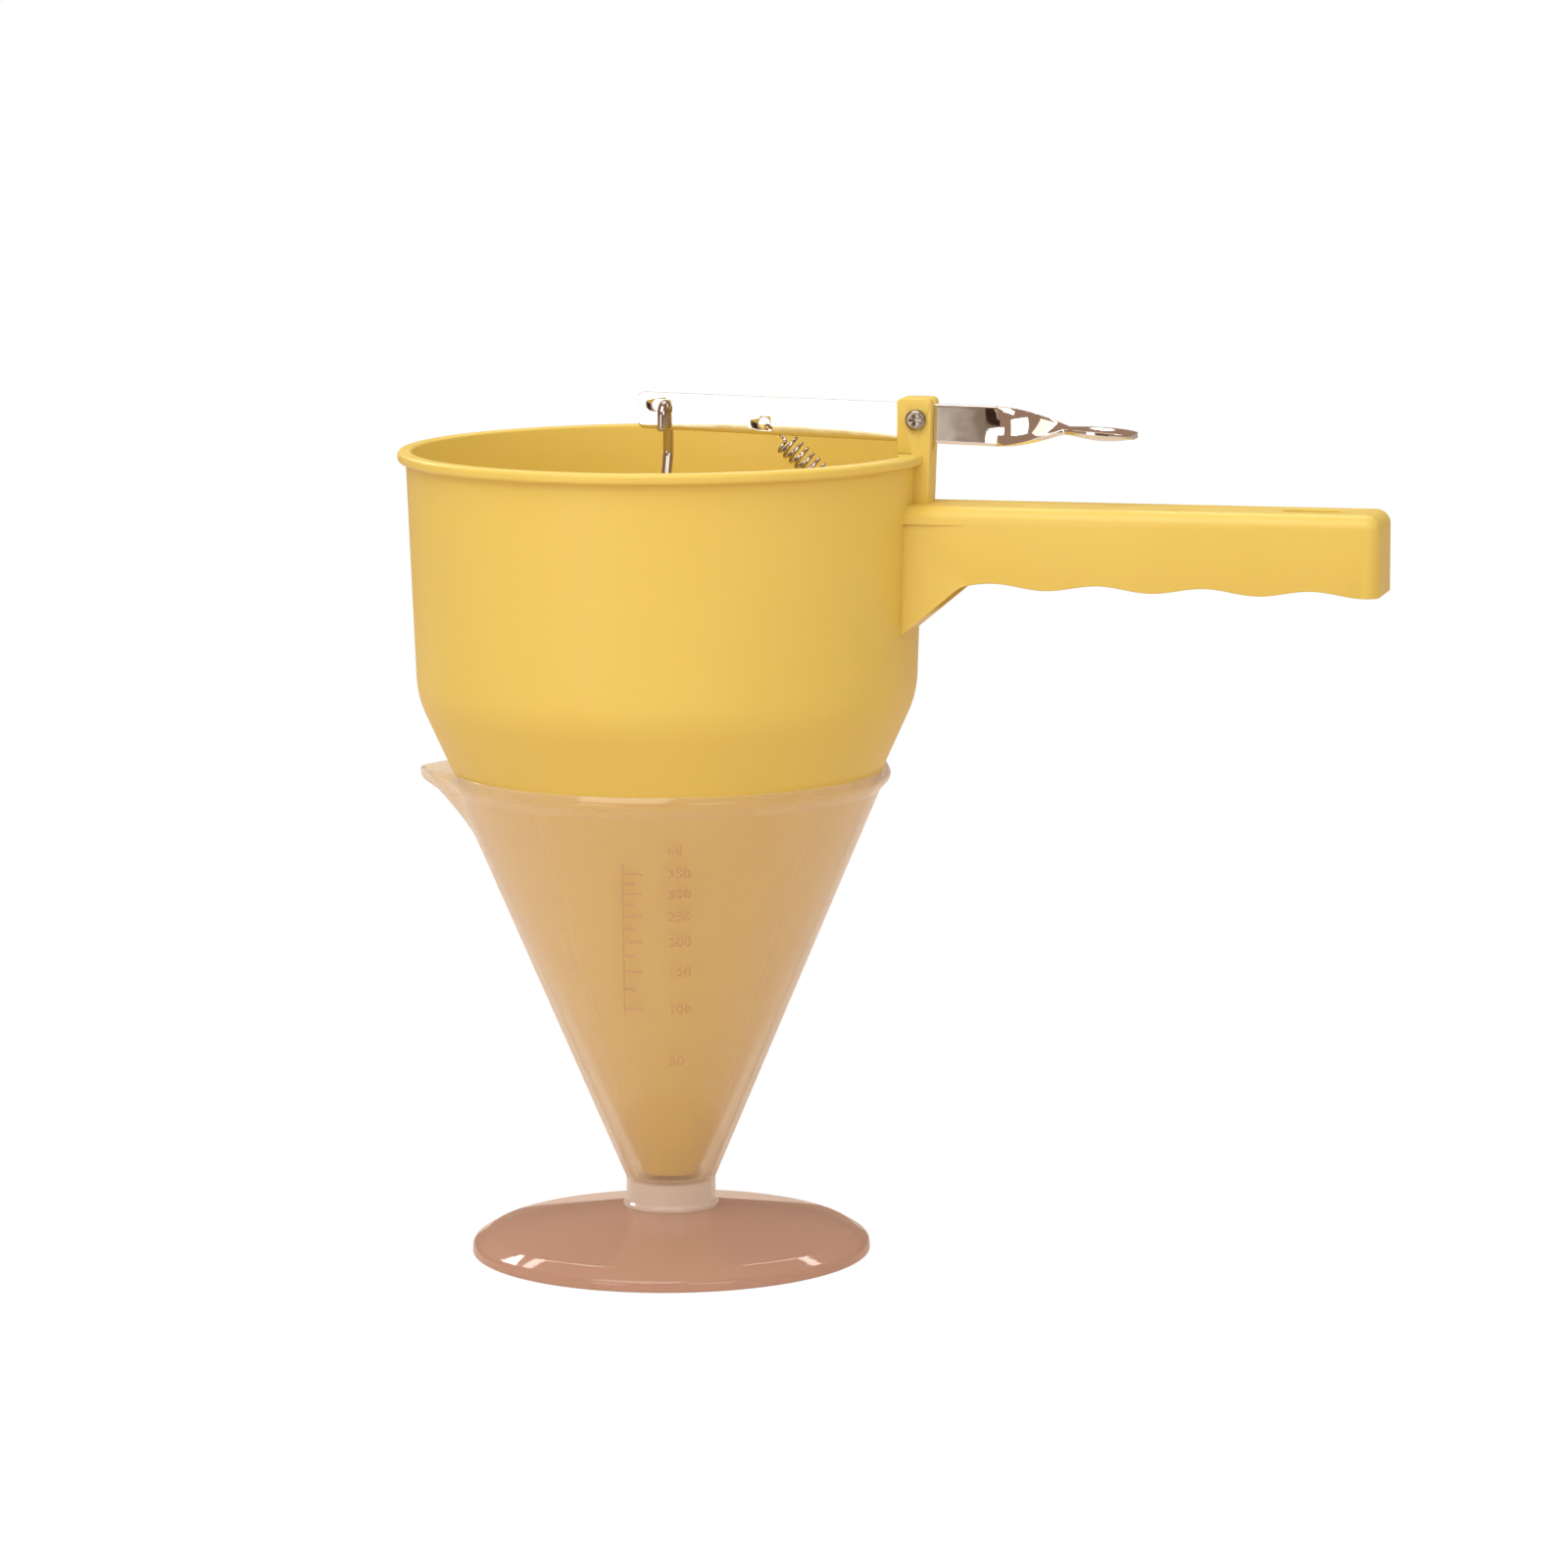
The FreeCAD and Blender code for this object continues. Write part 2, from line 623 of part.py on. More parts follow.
def make_ears():
    """Boss up the outside of the bowl that ends in two ears for the pivot."""
    top = PIVOT_Z + EAR_ABOVE_PIVOT
    back = PIVOT_X - EAR_BACK
    front = PIVOT_X + EAR_FRONT
    wall = WALL_TOP_RADIUS - HOPPER_WALL / 2
    low = GRIP_TOP - GRIP_WALL
    block = slab(polygon([
        (back, RIM_Z),
        (back, top),
        (front, top),
        (PIVOT_X + BOSS_FRONT, low),
        (wall, low),
        (wall, RIM_Z),
    ]), EAR_WIDTH / 2)
    corners = cross_edges_at(block, back, top) + cross_edges_at(block, front, top)
    block = block.makeFillet(EAR_ROUND, corners)
    slot = Part.makeBox(
        EAR_BACK + EAR_FRONT + 2,
        2 * SLOT_HALF_WIDTH,
        top - RIM_Z,
        Vector(back - 1, -SLOT_HALF_WIDTH, RIM_Z + SLOT_FLOOR_ABOVE_RIM),
    )
    hole = cross_rod(SCREW_RADIUS + SCREW_FIT, -EAR_WIDTH, EAR_WIDTH, PIVOT_X, PIVOT_Z)
    return block.cut([slot, hole])


def make_handle(hopper):
    """Grip, gusset, boss and ears, trimmed to the bowl that they stand on."""
    handle = make_grip().cut([root_step(1), root_step(-1)])
    handle = handle.fuse(make_ears()).cut(hopper)
    body = max(handle.Solids, key=lambda solid: solid.Volume)
    return body.removeSplitter()


def make_pivot_screw():
    """Pan head screw with a cross recess."""
    outside = -EAR_WIDTH / 2
    head = cross_rod(SCREW_HEAD_RADIUS, outside - SCREW_HEAD_HEIGHT, outside, PIVOT_X, PIVOT_Z)
    rim = [e for e in head.Edges if e.BoundBox.YMax < outside - SCREW_HEAD_HEIGHT + TOUCH]
    head = head.makeFillet(SCREW_HEAD_ROUND, rim)
    tail = -outside + NUT_HEIGHT + SCREW_TAIL
    shank = cross_rod(SCREW_RADIUS, outside, tail, PIVOT_X, PIVOT_Z)
    recess = []
    for length, width in ((RECESS_LENGTH, RECESS_WIDTH), (RECESS_WIDTH, RECESS_LENGTH)):
        corner = Vector(
            PIVOT_X - length / 2,
            outside - SCREW_HEAD_HEIGHT,
            PIVOT_Z - width / 2,
        )
        recess.append(Part.makeBox(length, RECESS_DEPTH, width, corner))
    return head.cut(recess).fuse(shank).removeSplitter()


def make_pivot_nut():
    """Six sided nut on the far ear."""
    start = EAR_WIDTH / 2
    corner = NUT_ACROSS_FLATS / math.sqrt(3)
    points = []
    for index in range(6):
        angle = math.radians(60 * index)
        points.append(PIVOT + ACROSS * start + (ALONG * math.cos(angle) + UP * math.sin(angle)) * corner)
    nut = Part.Face(Part.makePolygon(points + [points[0]])).extrude(ACROSS * NUT_HEIGHT)
    hole = cross_rod(SCREW_RADIUS + SCREW_FIT, 0, start + 2 * NUT_HEIGHT, PIVOT_X, PIVOT_Z)
    return nut.cut(hole)


def strip_section(x, z, width, turn, dish):
    """Cross section of the lever: a thin strip turned about its length, hollowed by dish."""
    half = width / 2
    low = []
    high = []
    for share in (-1, 0, 1):
        drop = dish * (1 - share * share)
        low.append(Vector(0, -LEVER_THICKNESS / 2 - drop, share * half))
        high.append(Vector(0, LEVER_THICKNESS / 2 - drop, -share * half))
    place = Placement(Vector(x, 0, z), Rotation(ALONG, turn))
    low = [place.multVec(Vector(0, -p.y, p.z)) for p in low]
    high = [place.multVec(Vector(0, -p.y, p.z)) for p in high]
    first = Part.BSplineCurve()
    first.interpolate(low)
    second = Part.BSplineCurve()
    second.interpolate(high)
    first_side = [first.toShape(), line(low[-1], high[0])]
    second_side = [second.toShape(), line(high[-1], low[0])]
    return Part.Wire(first_side + second_side)


def make_blade():
    """Quarter twist of the strip into a dished thumb pad with a round tip."""
    start_z = PIVOT_Z + (LEVER_REAR_TOP + LEVER_REAR_BOTTOM) / 2
    start_width = LEVER_REAR_TOP - LEVER_REAR_BOTTOM
    neck_z = PIVOT_Z - PAD_BELOW_PIVOT
    sections = []
    for index in range(TWIST_STEPS + 1):
        share = index / TWIST_STEPS
        x = LEVER_REAR + share * TWIST_LENGTH
        z = start_z + share * (neck_z - start_z)
        width = start_width + share * (NECK_WIDTH - start_width)
        sections.append(strip_section(x, z, width, -TWIST_TURN * share, 0))
    for index in range(1, PAD_STEPS + 1):
        share = index / PAD_STEPS
        x = LEVER_REAR + TWIST_LENGTH + share * PAD_LENGTH
        swell = math.sin(math.pi / 2 * min(share / PAD_SWELL_SHARE, 1))
        width = NECK_WIDTH + (PAD_WIDTH - NECK_WIDTH) * swell
        away = 1 - (1 - share) / PAD_TIP_SHARE
        if away > 0:
            width = PAD_TIP_WIDTH + (PAD_WIDTH - PAD_TIP_WIDTH) * math.sqrt(1 - away * away)
        z = neck_z - PAD_DROOP * share * share
        dish = PAD_DISH * math.sin(math.pi * share)
        sections.append(strip_section(x, z, width, -TWIST_TURN, dish))
    return Part.makeLoft(sections, True, False)


def make_lever():
    """Steel strip on edge with its two holes and slot, and the twisted blade."""
    strip = slab(polygon([
        (LEVER_FRONT, PIVOT_Z + LEVER_FRONT_TOP),
        (LEVER_REAR, PIVOT_Z + LEVER_REAR_TOP),
        (LEVER_REAR, PIVOT_Z + LEVER_REAR_BOTTOM),
        (LEVER_FRONT, PIVOT_Z + LEVER_FRONT_BOTTOM),
    ]), LEVER_THICKNESS / 2)
    corners = cross_edges_at(strip, LEVER_FRONT, PIVOT_Z + LEVER_FRONT_TOP)
    corners += cross_edges_at(strip, LEVER_FRONT, PIVOT_Z + LEVER_FRONT_BOTTOM)
    strip = strip.makeFillet(LEVER_CORNER, corners)
    round_end = ROD_SLOT_HEIGHT / 2
    rear = ROD_SLOT_LEAD - round_end
    front = ROD_SLOT_LEAD - ROD_SLOT_LENGTH + round_end
    side = LEVER_THICKNESS
    slot = Part.makeBox(rear - front, 2 * side, ROD_SLOT_HEIGHT, Vector(front, -side, ROD_SLOT_Z - round_end))
    cuts = [
        slot,
        cross_rod(round_end, -side, side, rear, ROD_SLOT_Z),
        cross_rod(round_end, -side, side, front, ROD_SLOT_Z),
        cross_rod(SPRING_HOLE_RADIUS, -side, side, SPRING_HOLE.x, SPRING_HOLE.z),
        cross_rod(SCREW_RADIUS + SCREW_FIT, -side, side, PIVOT_X, PIVOT_Z),
    ]
    return strip.fuse(make_blade()).cut(cuts)


def hook_seat(hole_radius, thickness):
    """How far the hook's round end lies past the middle of its hole, clear of the hole's edge."""
    slope = math.asin((thickness / 2 + HOOK_LEAN_ALLOWANCE) / HOOK_RADIUS)
    drop = HOOK_RADIUS * (1 - math.cos(slope))
    return hole_radius - SPRING_WIRE / 2 / math.cos(slope) - drop - HOOK_SEAT_GAP


def spring_line():
    """Ends and direction of the spring's axis at rest."""
    along = (LUG_HOLE - SPRING_HOLE).normalize()
    upper = SPRING_HOLE + along * hook_seat(SPRING_HOLE_RADIUS, LEVER_THICKNESS)
    lower = LUG_HOLE - along * hook_seat(LUG_HOLE_RADIUS, LUG_THICKNESS)
    return upper, lower, along


def spring_pitch():
    """Travel of the spring's coil in one turn."""
    upper, lower, _ = spring_line()
    coils = (lower - upper).Length - 4 * HOOK_RADIUS
    return coils / (SPRING_HALF_TURNS / 2 + 0.5)


def hook_edges(tip, along):
    """Open hook whose round end passes through tip, from its free end to the coils."""
    rise = spring_pitch() / (2 * math.pi * SPRING_RADIUS)
    lean = math.atan(rise)
    centre = tip + along * HOOK_RADIUS - ACROSS * HOOK_RADIUS * math.sin(lean)

    def on_hook(angle):
        return centre + (ACROSS * math.sin(angle) - along * math.cos(angle)) * HOOK_RADIUS

    stops = [-math.radians(HOOK_OVERLAP), math.pi / 4, math.pi - lean]
    edges = []
    for a, b in zip(stops, stops[1:]):
        edges.append(arc(on_hook(a), on_hook((a + b) / 2), on_hook(b)))
    return edges, on_hook(stops[-1])


def coil_edges(centre, along, out, radius, first_angle, quarters, travel):
    """Quarter turns of a coil as arc pairs, from a start angle, climbing along its axis."""
    rise = travel / (quarters * radius * math.pi / 2)
    stretch = math.sqrt(1 + rise * rise)

    def state(index):
        angle = first_angle + index * math.pi / 2
        outward = out * math.cos(angle) + ACROSS * math.sin(angle)
        onward = ACROSS * math.cos(angle) - out * math.sin(angle)
        place = centre + outward * radius + along * (travel * index / quarters)
        return place, (onward + along * rise) * (1 / stretch)

    edges = []
    for index in range(quarters):
        a, from_a = state(index)
        b, into_b = state(index + 1)
        edges += biarc(a, from_a, b, into_b)
    return edges


def half_spring(tip, along, out):
    """Hook and lead-in at one end, and the point where the coils start."""
    edges, start = hook_edges(tip, along)
    lead_radius = SPRING_RADIUS / 2
    lead_travel = spring_pitch() / 4
    centre = start + out * lead_radius
    edges += coil_edges(centre, along, out, lead_radius, math.pi, 2, lead_travel)
    return edges, start + along * lead_travel


def make_return_spring():
    """Tension spring as one wire: hook, lead-in, coils, lead-in, hook."""
    upper, lower, along = spring_line()
    out = ACROSS.cross(along)
    first, top = half_spring(upper, along, out)
    second, bottom = half_spring(lower, along * -1, out * -1)
    travel = (bottom - top).dot(along)
    coils = coil_edges(top, along, out, SPRING_RADIUS, 0, 2 * SPRING_HALF_TURNS, travel)
    edges = first + coils + run_backwards(second)
    report_spring(edges)
    return pipe(edges, SPRING_WIRE / 2)


def report_spring(edges):
    """Prints the wire's length, its tightest bend and its least gap to itself."""
    points = []
    places = []
    run = 0.0
    for edge in edges:
        for share in (0.0, 0.25, 0.5, 0.75):
            span = edge.LastParameter - edge.FirstParameter
            points.append(edge.valueAt(edge.FirstParameter + share * span))
            places.append(run + share * edge.Length)
        run += edge.Length
    least = min(
        points[i].distanceToPoint(points[j])
        for i in range(len(points))
        for j in range(i + 1, len(points))
        if places[j] - places[i] > 4 * SPRING_WIRE
    )
    tightest = min(edge.Curve.Radius for edge in edges)
    print("spring wire length", round(run, 1))
    print("spring tightest bend", round(tightest, 2))
    print("spring least gap to itself", round(least - SPRING_WIRE, 2))


def make_valve_rod():
    """Steel wire from the plug up to the hook through the lever's slot."""
    hook = ROD_HOOK_RADIUS
    bend_z = ROD_SLOT_Z - hook
    foot_z = PLUG_BASE + PLUG_HEIGHT + PLUG_NECK_HEIGHT - ROD_IN_PLUG
    jog_z = ROD_SLOT_Z - ROD_JOG_BELOW_HOOK
    stem = rounded_run([
        Vector(0, 0, foot_z),
        Vector(0, 0, jog_z),
        Vector(0, hook, jog_z + ROD_JOG_LENGTH),
        Vector(0, hook, bend_z),
    ], ROD_JOG_ROUND)
    bend = [
        arc(Vector(0, hook, bend_z), Vector(0, 0, bend_z + hook), Vector(0, -hook, bend_z)),
        line(Vector(0, -hook, bend_z), Vector(0, -hook, bend_z - ROD_LEG)),
    ]
    return pipe(stem + bend, ROD_RADIUS)


def make_plug_seal():
    """Soft ring that meets the cone."""
    return Part.makeTorus(SEAL_CENTRE, SEAL_RADIUS, Vector(0, 0, SEAL_Z))


def make_valve_plug():
    """Conical stopper with a groove for the seal and a socket for the rod."""
    gap = PLUG_GAP / COS_CONE
    top = PLUG_BASE + PLUG_HEIGHT
    neck_top = top + PLUG_NECK_HEIGHT
    plug = turned(polygon([
        (0, PLUG_BASE),
        (cone_inner(PLUG_BASE) - gap, PLUG_BASE),
        (cone_inner(top) - gap, top),
        (PLUG_NECK_RADIUS, top),
        (PLUG_NECK_RADIUS, neck_top),
        (0, neck_top),
    ]))
    plug = plug.makeFillet(PLUG_TOP_ROUND, circles_at(plug, cone_inner(top) - gap, top))
    groove = Part.makeTorus(SEAL_CENTRE, SEAL_RADIUS + SEAL_FIT, Vector(0, 0, SEAL_Z))
    socket = upright_rod(ROD_RADIUS + ROD_FIT, neck_top - ROD_IN_PLUG, neck_top)
    return plug.cut([groove, socket])


def main():
    """Builds each piece and writes it to its own file."""
    os.makedirs("parts", exist_ok=True)
    hopper = make_hopper()
    pieces = {
        "hopper": hopper,
        "handle": make_handle(hopper),
        "pivot_screw": make_pivot_screw(),
        "pivot_nut": make_pivot_nut(),
        "lever": make_lever(),
        "return_spring": make_return_spring(),
        "valve_rod": make_valve_rod(),
        "valve_plug": make_valve_plug(),
        "plug_seal": make_plug_seal(),
        "measuring_cup": make_measuring_cup(),
        "cup_foot": make_cup_foot(),
    }
    for name, shape in pieces.items():
        solids = shape.Solids
        volume = sum(solid.Volume for solid in solids)
        print(name, len(solids), "solid", shape.isValid(), round(volume, 1))
        whole = solids[0] if len(solids) == 1 else Part.makeCompound(solids)
        whole.exportStep("parts/" + name + ".step")


main()
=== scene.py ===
"""Batter dispenser: a yellow hopper with a grip and a lever valve, in a clear cup on a foot."""

import logging
import math
from collections.abc import Callable, Iterator
from contextlib import contextmanager
from dataclasses import dataclass
from enum import Enum

import bmesh
import bpy
from mathutils import Matrix, Vector


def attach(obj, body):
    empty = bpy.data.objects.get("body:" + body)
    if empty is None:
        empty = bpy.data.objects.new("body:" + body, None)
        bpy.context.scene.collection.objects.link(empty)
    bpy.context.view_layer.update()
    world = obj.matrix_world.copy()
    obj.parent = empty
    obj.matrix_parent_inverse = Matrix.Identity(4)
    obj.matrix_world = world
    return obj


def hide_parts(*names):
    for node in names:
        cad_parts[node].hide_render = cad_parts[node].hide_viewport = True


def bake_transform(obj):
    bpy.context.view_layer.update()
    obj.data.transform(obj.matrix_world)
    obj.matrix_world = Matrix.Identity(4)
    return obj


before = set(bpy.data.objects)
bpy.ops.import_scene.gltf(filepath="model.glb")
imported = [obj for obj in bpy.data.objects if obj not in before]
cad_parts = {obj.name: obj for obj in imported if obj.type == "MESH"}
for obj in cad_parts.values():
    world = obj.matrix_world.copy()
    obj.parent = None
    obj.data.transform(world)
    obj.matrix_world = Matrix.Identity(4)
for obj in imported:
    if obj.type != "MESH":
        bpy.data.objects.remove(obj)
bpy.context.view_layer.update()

LOG = logging.getLogger("dispenser")

# Millimetre in metres; radius in millimetres at which turned solids and mouldings stop short of
# the axis; and how near, in millimetres, an edge has to lie to count as on a face.
MM = 0.001
CORE = 0.05
MOULD_CORE = 0.4
NEAR = 0.05

Pair = tuple[float, float]
Triple = tuple[float, float, float]
Colour = Triple
Socket = bpy.types.NodeSocket


class Body(Enum):
    """The rigid bodies that a piece can ride on."""

    STAND = "stand"
    HOPPER = "hopper"
    LEVER = "lever"
    VALVE = "valve"


class Slot(Enum):
    """The record's material slots."""

    YELLOW = "yellow_plastic"
    SCREW = "bright_steel"
    LEVER = "polished_steel"
    SPRING = "spring_wire"
    ROD = "rod_wire"
    PLUG = "white_plastic"
    SEAL = "silicone"
    CUP = "clear_plastic"
    FOOT = "foot_plastic"


def srgb(red: float, green: float, blue: float) -> Colour:
    """Turns display values from 0 to 255 into linear colour.

    Args:
        red: Display value of red.
        green: Display value of green.
        blue: Display value of blue.

    Returns:
        The three linear values.
    """

    def linear(value: float) -> float:
        """One channel, from 0 to 255."""
        share = value / 255
        return share / 12.92 if share <= 0.04045 else ((share + 0.055) / 1.055) ** 2.4

    return linear(red), linear(green), linear(blue)


class NodeSheet:
    """A material's or the world's node tree, filled one node at a time."""

    def __init__(self, tree: bpy.types.NodeTree) -> None:
        """Empties the tree.

        Args:
            tree: The node tree to fill.
        """
        self.tree = tree
        tree.nodes.clear()

    @classmethod
    def material(cls, name: str) -> tuple[bpy.types.Material, "NodeSheet"]:
        """A new material and its empty sheet."""
        material = bpy.data.materials.new(name)
        material.use_nodes = True
        return material, cls(material.node_tree)

    def add(
        self, kind: str, inputs: dict[str | int, object] | None = None, **settings: object
    ) -> bpy.types.Node:
        """Adds a node.

        Args:
            kind: Blender's name of the node type after "ShaderNode".
            inputs: For each input its value, or the output that feeds it.
            **settings: Property names and values.

        Returns:
            The new node.
        """
        node = self.tree.nodes.new("ShaderNode" + kind)
        for name, value in settings.items():
            setattr(node, name, value)
        for name, value in (inputs or {}).items():
            if isinstance(value, bpy.types.NodeSocket):
                self.tree.links.new(value, node.inputs[name])
            else:
                node.inputs[name].default_value = value
        return node

    def result(self, kind: str, inputs: dict[str | int, object] | None = None) -> Socket:
        """Adds a node and returns its first output."""
        return self.add(kind, inputs).outputs[0]

    def noise(self, scale: float, detail: float, stretch: Triple = (1, 1, 1)) -> Socket:
        """Noise in the object's own coordinates.

        Args:
            scale: Bumps per metre.
            detail: Octaves.
            stretch: Scale along each axis.

        Returns:
            The noise, from 0 to 1.
        """
        place = self.add("TexCoord").outputs["Object"]
        mapping = self.result("Mapping", {"Vector": place, "Scale": stretch})
        texture = self.add("TexNoise", {"Vector": mapping, "Scale": scale, "Detail": detail})
        return texture.outputs["Fac"]

    def spread(
        self, source: Socket, low: float, high: float, start: float = 0.3, end: float = 0.7
    ) -> Socket:
        """Maps start to end onto low to high.

        Args:
            source: The value to map.
            low: Result at start.
            high: Result at end.
            start: Value that gives low.
            end: Value that gives high.

        Returns:
            The mapped value.
        """
        return self.result("MapRange", {
            "Value": source, "From Min": start, "From Max": end, "To Min": low, "To Max": high,
        })

    def math(self, operation: str, *values: float | Socket) -> Socket:
        """Result of a sum on values or outputs."""
        return self.add("Math", dict(enumerate(values)), operation=operation).outputs[0]

    def mix(self, first: Socket, second: Socket, share: float | Socket) -> Socket:
        """Mixes two shaders.

        Args:
            first: The shader at 0.
            second: The shader at 1.
            share: The second one's share.

        Returns:
            The mixed shader.
        """
        return self.result("MixShader", {"Fac": share, 1: first, 2: second})

    def bump(self, height: Socket, depth: float) -> Socket:
        """Normal of a surface raised by a height.

        Args:
            height: Height from 0 to 1.
            depth: Metres at 1.

        Returns:
            The normal.
        """
        return self.result("Bump", {"Strength": 1.0, "Distance": depth, "Height": height})

    def matt(self, colour: Colour) -> Socket:
        """Plain matt shader."""
        return self.result("BsdfDiffuse", {"Color": (*colour, 1)})

    def glow(self, kind: str, colour: Colour, strength: float = 1.0) -> Socket:
        """Emission or background of one colour."""
        return self.result(kind, {"Color": (*colour, 1), "Strength": strength})


@dataclass(frozen=True)
class MouldedPlastic:
    """Opaque moulded plastic with a soft gloss."""

    name: str
    colour: Colour
    deep: Colour
    roughness: float = 0.36
    glow: float = 0.12
    glow_reach: float = 0.004
    peel: float = 0.00002

    def make(self) -> bpy.types.Material:
        """Builds the material."""
        material, sheet = NodeSheet.material(self.name)
        handling = sheet.noise(60.0, 4.0)
        tint = sheet.add("Mix", {
            "Factor": sheet.spread(sheet.noise(14.0, 3.0), 0.0, 0.6),
            "A": (*self.colour, 1), "B": (*self.deep, 1),
        }, data_type="RGBA")
        surface = sheet.result("BsdfPrincipled", {
            "Subsurface Weight": self.glow,
            "Subsurface Radius": (1.0, 0.7, 0.35),
            "Subsurface Scale": self.glow_reach,
            "IOR": 1.49,
            "Base Color": tint.outputs["Result"],
            "Roughness": sheet.spread(handling, self.roughness - 0.05, self.roughness + 0.06),
            "Normal": sheet.bump(sheet.noise(1400.0, 2.0), self.peel),
        })
        sheet.add("OutputMaterial", {"Surface": surface})
        return material


@dataclass(frozen=True)
class ClearPlastic:
    """Thin milky plastic: part of the light scatters in the wall, part goes through it."""

    name: str
    milk: Colour
    tint: Colour
    clarity: float
    blur: float
    gloss: float
    clarity_at_edge: float = 0.45
    milky_below: float = 0.0
    milky_share: float = 0.45
    milky_fade: float = 0.002
    bend: float = 1.03
    shine: float = 1.52
    peel: float = 0.00001

    def make(self) -> bpy.types.Material:
        """Builds the material."""
        material, sheet = NodeSheet.material(self.name)
        tint = (*self.tint, 1)
        haze = sheet.result("BsdfTranslucent", {"Color": (*self.milk, 1)})
        through = sheet.result("BsdfTransparent", {"Color": tint})
        frost = sheet.result(
            "BsdfRefraction", {"Color": tint, "Roughness": self.blur, "IOR": self.bend}
        )
        wall = sheet.mix(sheet.matt(self.milk), haze, 0.5)
        clear = sheet.mix(through, frost, 0.5)
        body = sheet.mix(wall, clear, self.clear_share(sheet))
        mirror = sheet.result("BsdfGlossy", {
            "Color": (1, 1, 1, 1),
            "Roughness": sheet.spread(sheet.noise(40.0, 4.0), self.gloss * 0.8, self.gloss * 1.3),
            "Normal": sheet.bump(sheet.noise(500.0, 2.0), self.peel),
        })
        outside = sheet.math("SUBTRACT", 1.0, sheet.add("NewGeometry").outputs["Backfacing"])
        mirrored = sheet.math("MULTIPLY", sheet.result("Fresnel", {"IOR": self.shine}), outside)
        sheet.add("OutputMaterial", {"Surface": sheet.mix(body, mirror, mirrored)})
        return material

    def clear_share(self, sheet: NodeSheet) -> Socket:
        """Share of light that passes: less through a slanting wall and through the thick neck."""
        share = sheet.spread(sheet.noise(9.0, 3.0), self.clarity - 0.03, self.clarity + 0.03)
        facing = sheet.add("LayerWeight", {"Blend": 0.4}).outputs["Facing"]
        slant = sheet.spread(facing, 1.0, self.clarity_at_edge, 0.0, 1.0)
        place = sheet.add("TexCoord").outputs["Object"]
        height = sheet.add("SeparateXYZ", {"Vector": place}).outputs["Z"]
        low = self.milky_below - self.milky_fade
        thick = sheet.spread(height, self.milky_share, 1.0, low, self.milky_below)
        return sheet.math("MULTIPLY", sheet.math("MULTIPLY", share, slant), thick)


@dataclass(frozen=True)
class Metal:
    """Polished or drawn steel with fine lines along one axis."""

    name: str
    colour: Colour
    roughness: float
    lines: Triple
    depth: float

    def make(self) -> bpy.types.Material:
        """Builds the material."""
        material, sheet = NodeSheet.material(self.name)
        cloud = sheet.noise(220.0, 5.0)
        relief = sheet.math("MULTIPLY_ADD", cloud, 0.6, sheet.noise(900.0, 5.0, self.lines))
        surface = sheet.result("BsdfPrincipled", {
            "Metallic": 1.0,
            "Base Color": (*self.colour, 1),
            "Roughness": sheet.spread(cloud, self.roughness * 0.75, self.roughness * 1.3),
            "Normal": sheet.bump(relief, self.depth),
        })
        sheet.add("OutputMaterial", {"Surface": surface})
        return material


@dataclass(frozen=True)
class Finishes:
    """Every finish of the dispenser, made once."""

    yellow: bpy.types.Material
    cup: bpy.types.Material
    foot: bpy.types.Material
    marks: bpy.types.Material
    plug: bpy.types.Material
    seal: bpy.types.Material
    lever: bpy.types.Material
    wire: bpy.types.Material
    screw: bpy.types.Material

    @classmethod
    def make(cls) -> "Finishes":
        """Builds all materials."""
        even = (1.0, 1.0, 1.0)
        return cls(
            yellow=MouldedPlastic(
                "yellow_polypropylene", srgb(230, 202, 100), srgb(225, 194, 90)
            ).make(),
            cup=ClearPlastic(
                "clear_cup", srgb(255, 247, 236), srgb(255, 254, 249),
                0.91, 0.22, 0.10, 0.42, 0.0225,
            ).make(),
            foot=ClearPlastic(
                "tinted_foot", srgb(222, 192, 172), srgb(252, 236, 224), 0.66, 0.16, 0.05
            ).make(),
            marks=ClearPlastic(
                "moulded_marks", srgb(240, 220, 196), srgb(250, 240, 228), 0.76, 0.25, 0.2
            ).make(),
            plug=MouldedPlastic(
                "stopper_plastic", srgb(236, 234, 228), srgb(228, 226, 218), 0.42
            ).make(),
            seal=MouldedPlastic("soft_seal", srgb(222, 220, 214), srgb(212, 210, 204), 0.55).make(),
            lever=Metal(
                "polished_strip", (0.86, 0.84, 0.81), 0.065, (0.04, 1.0, 1.0), 0.0000005
            ).make(),
            wire=Metal("drawn_wire", (0.56, 0.50, 0.44), 0.12, (1.0, 1.0, 0.06), 0.000003).make(),
            screw=Metal("plated_screw", (0.40, 0.37, 0.34), 0.26, even, 0.000003).make(),
        )


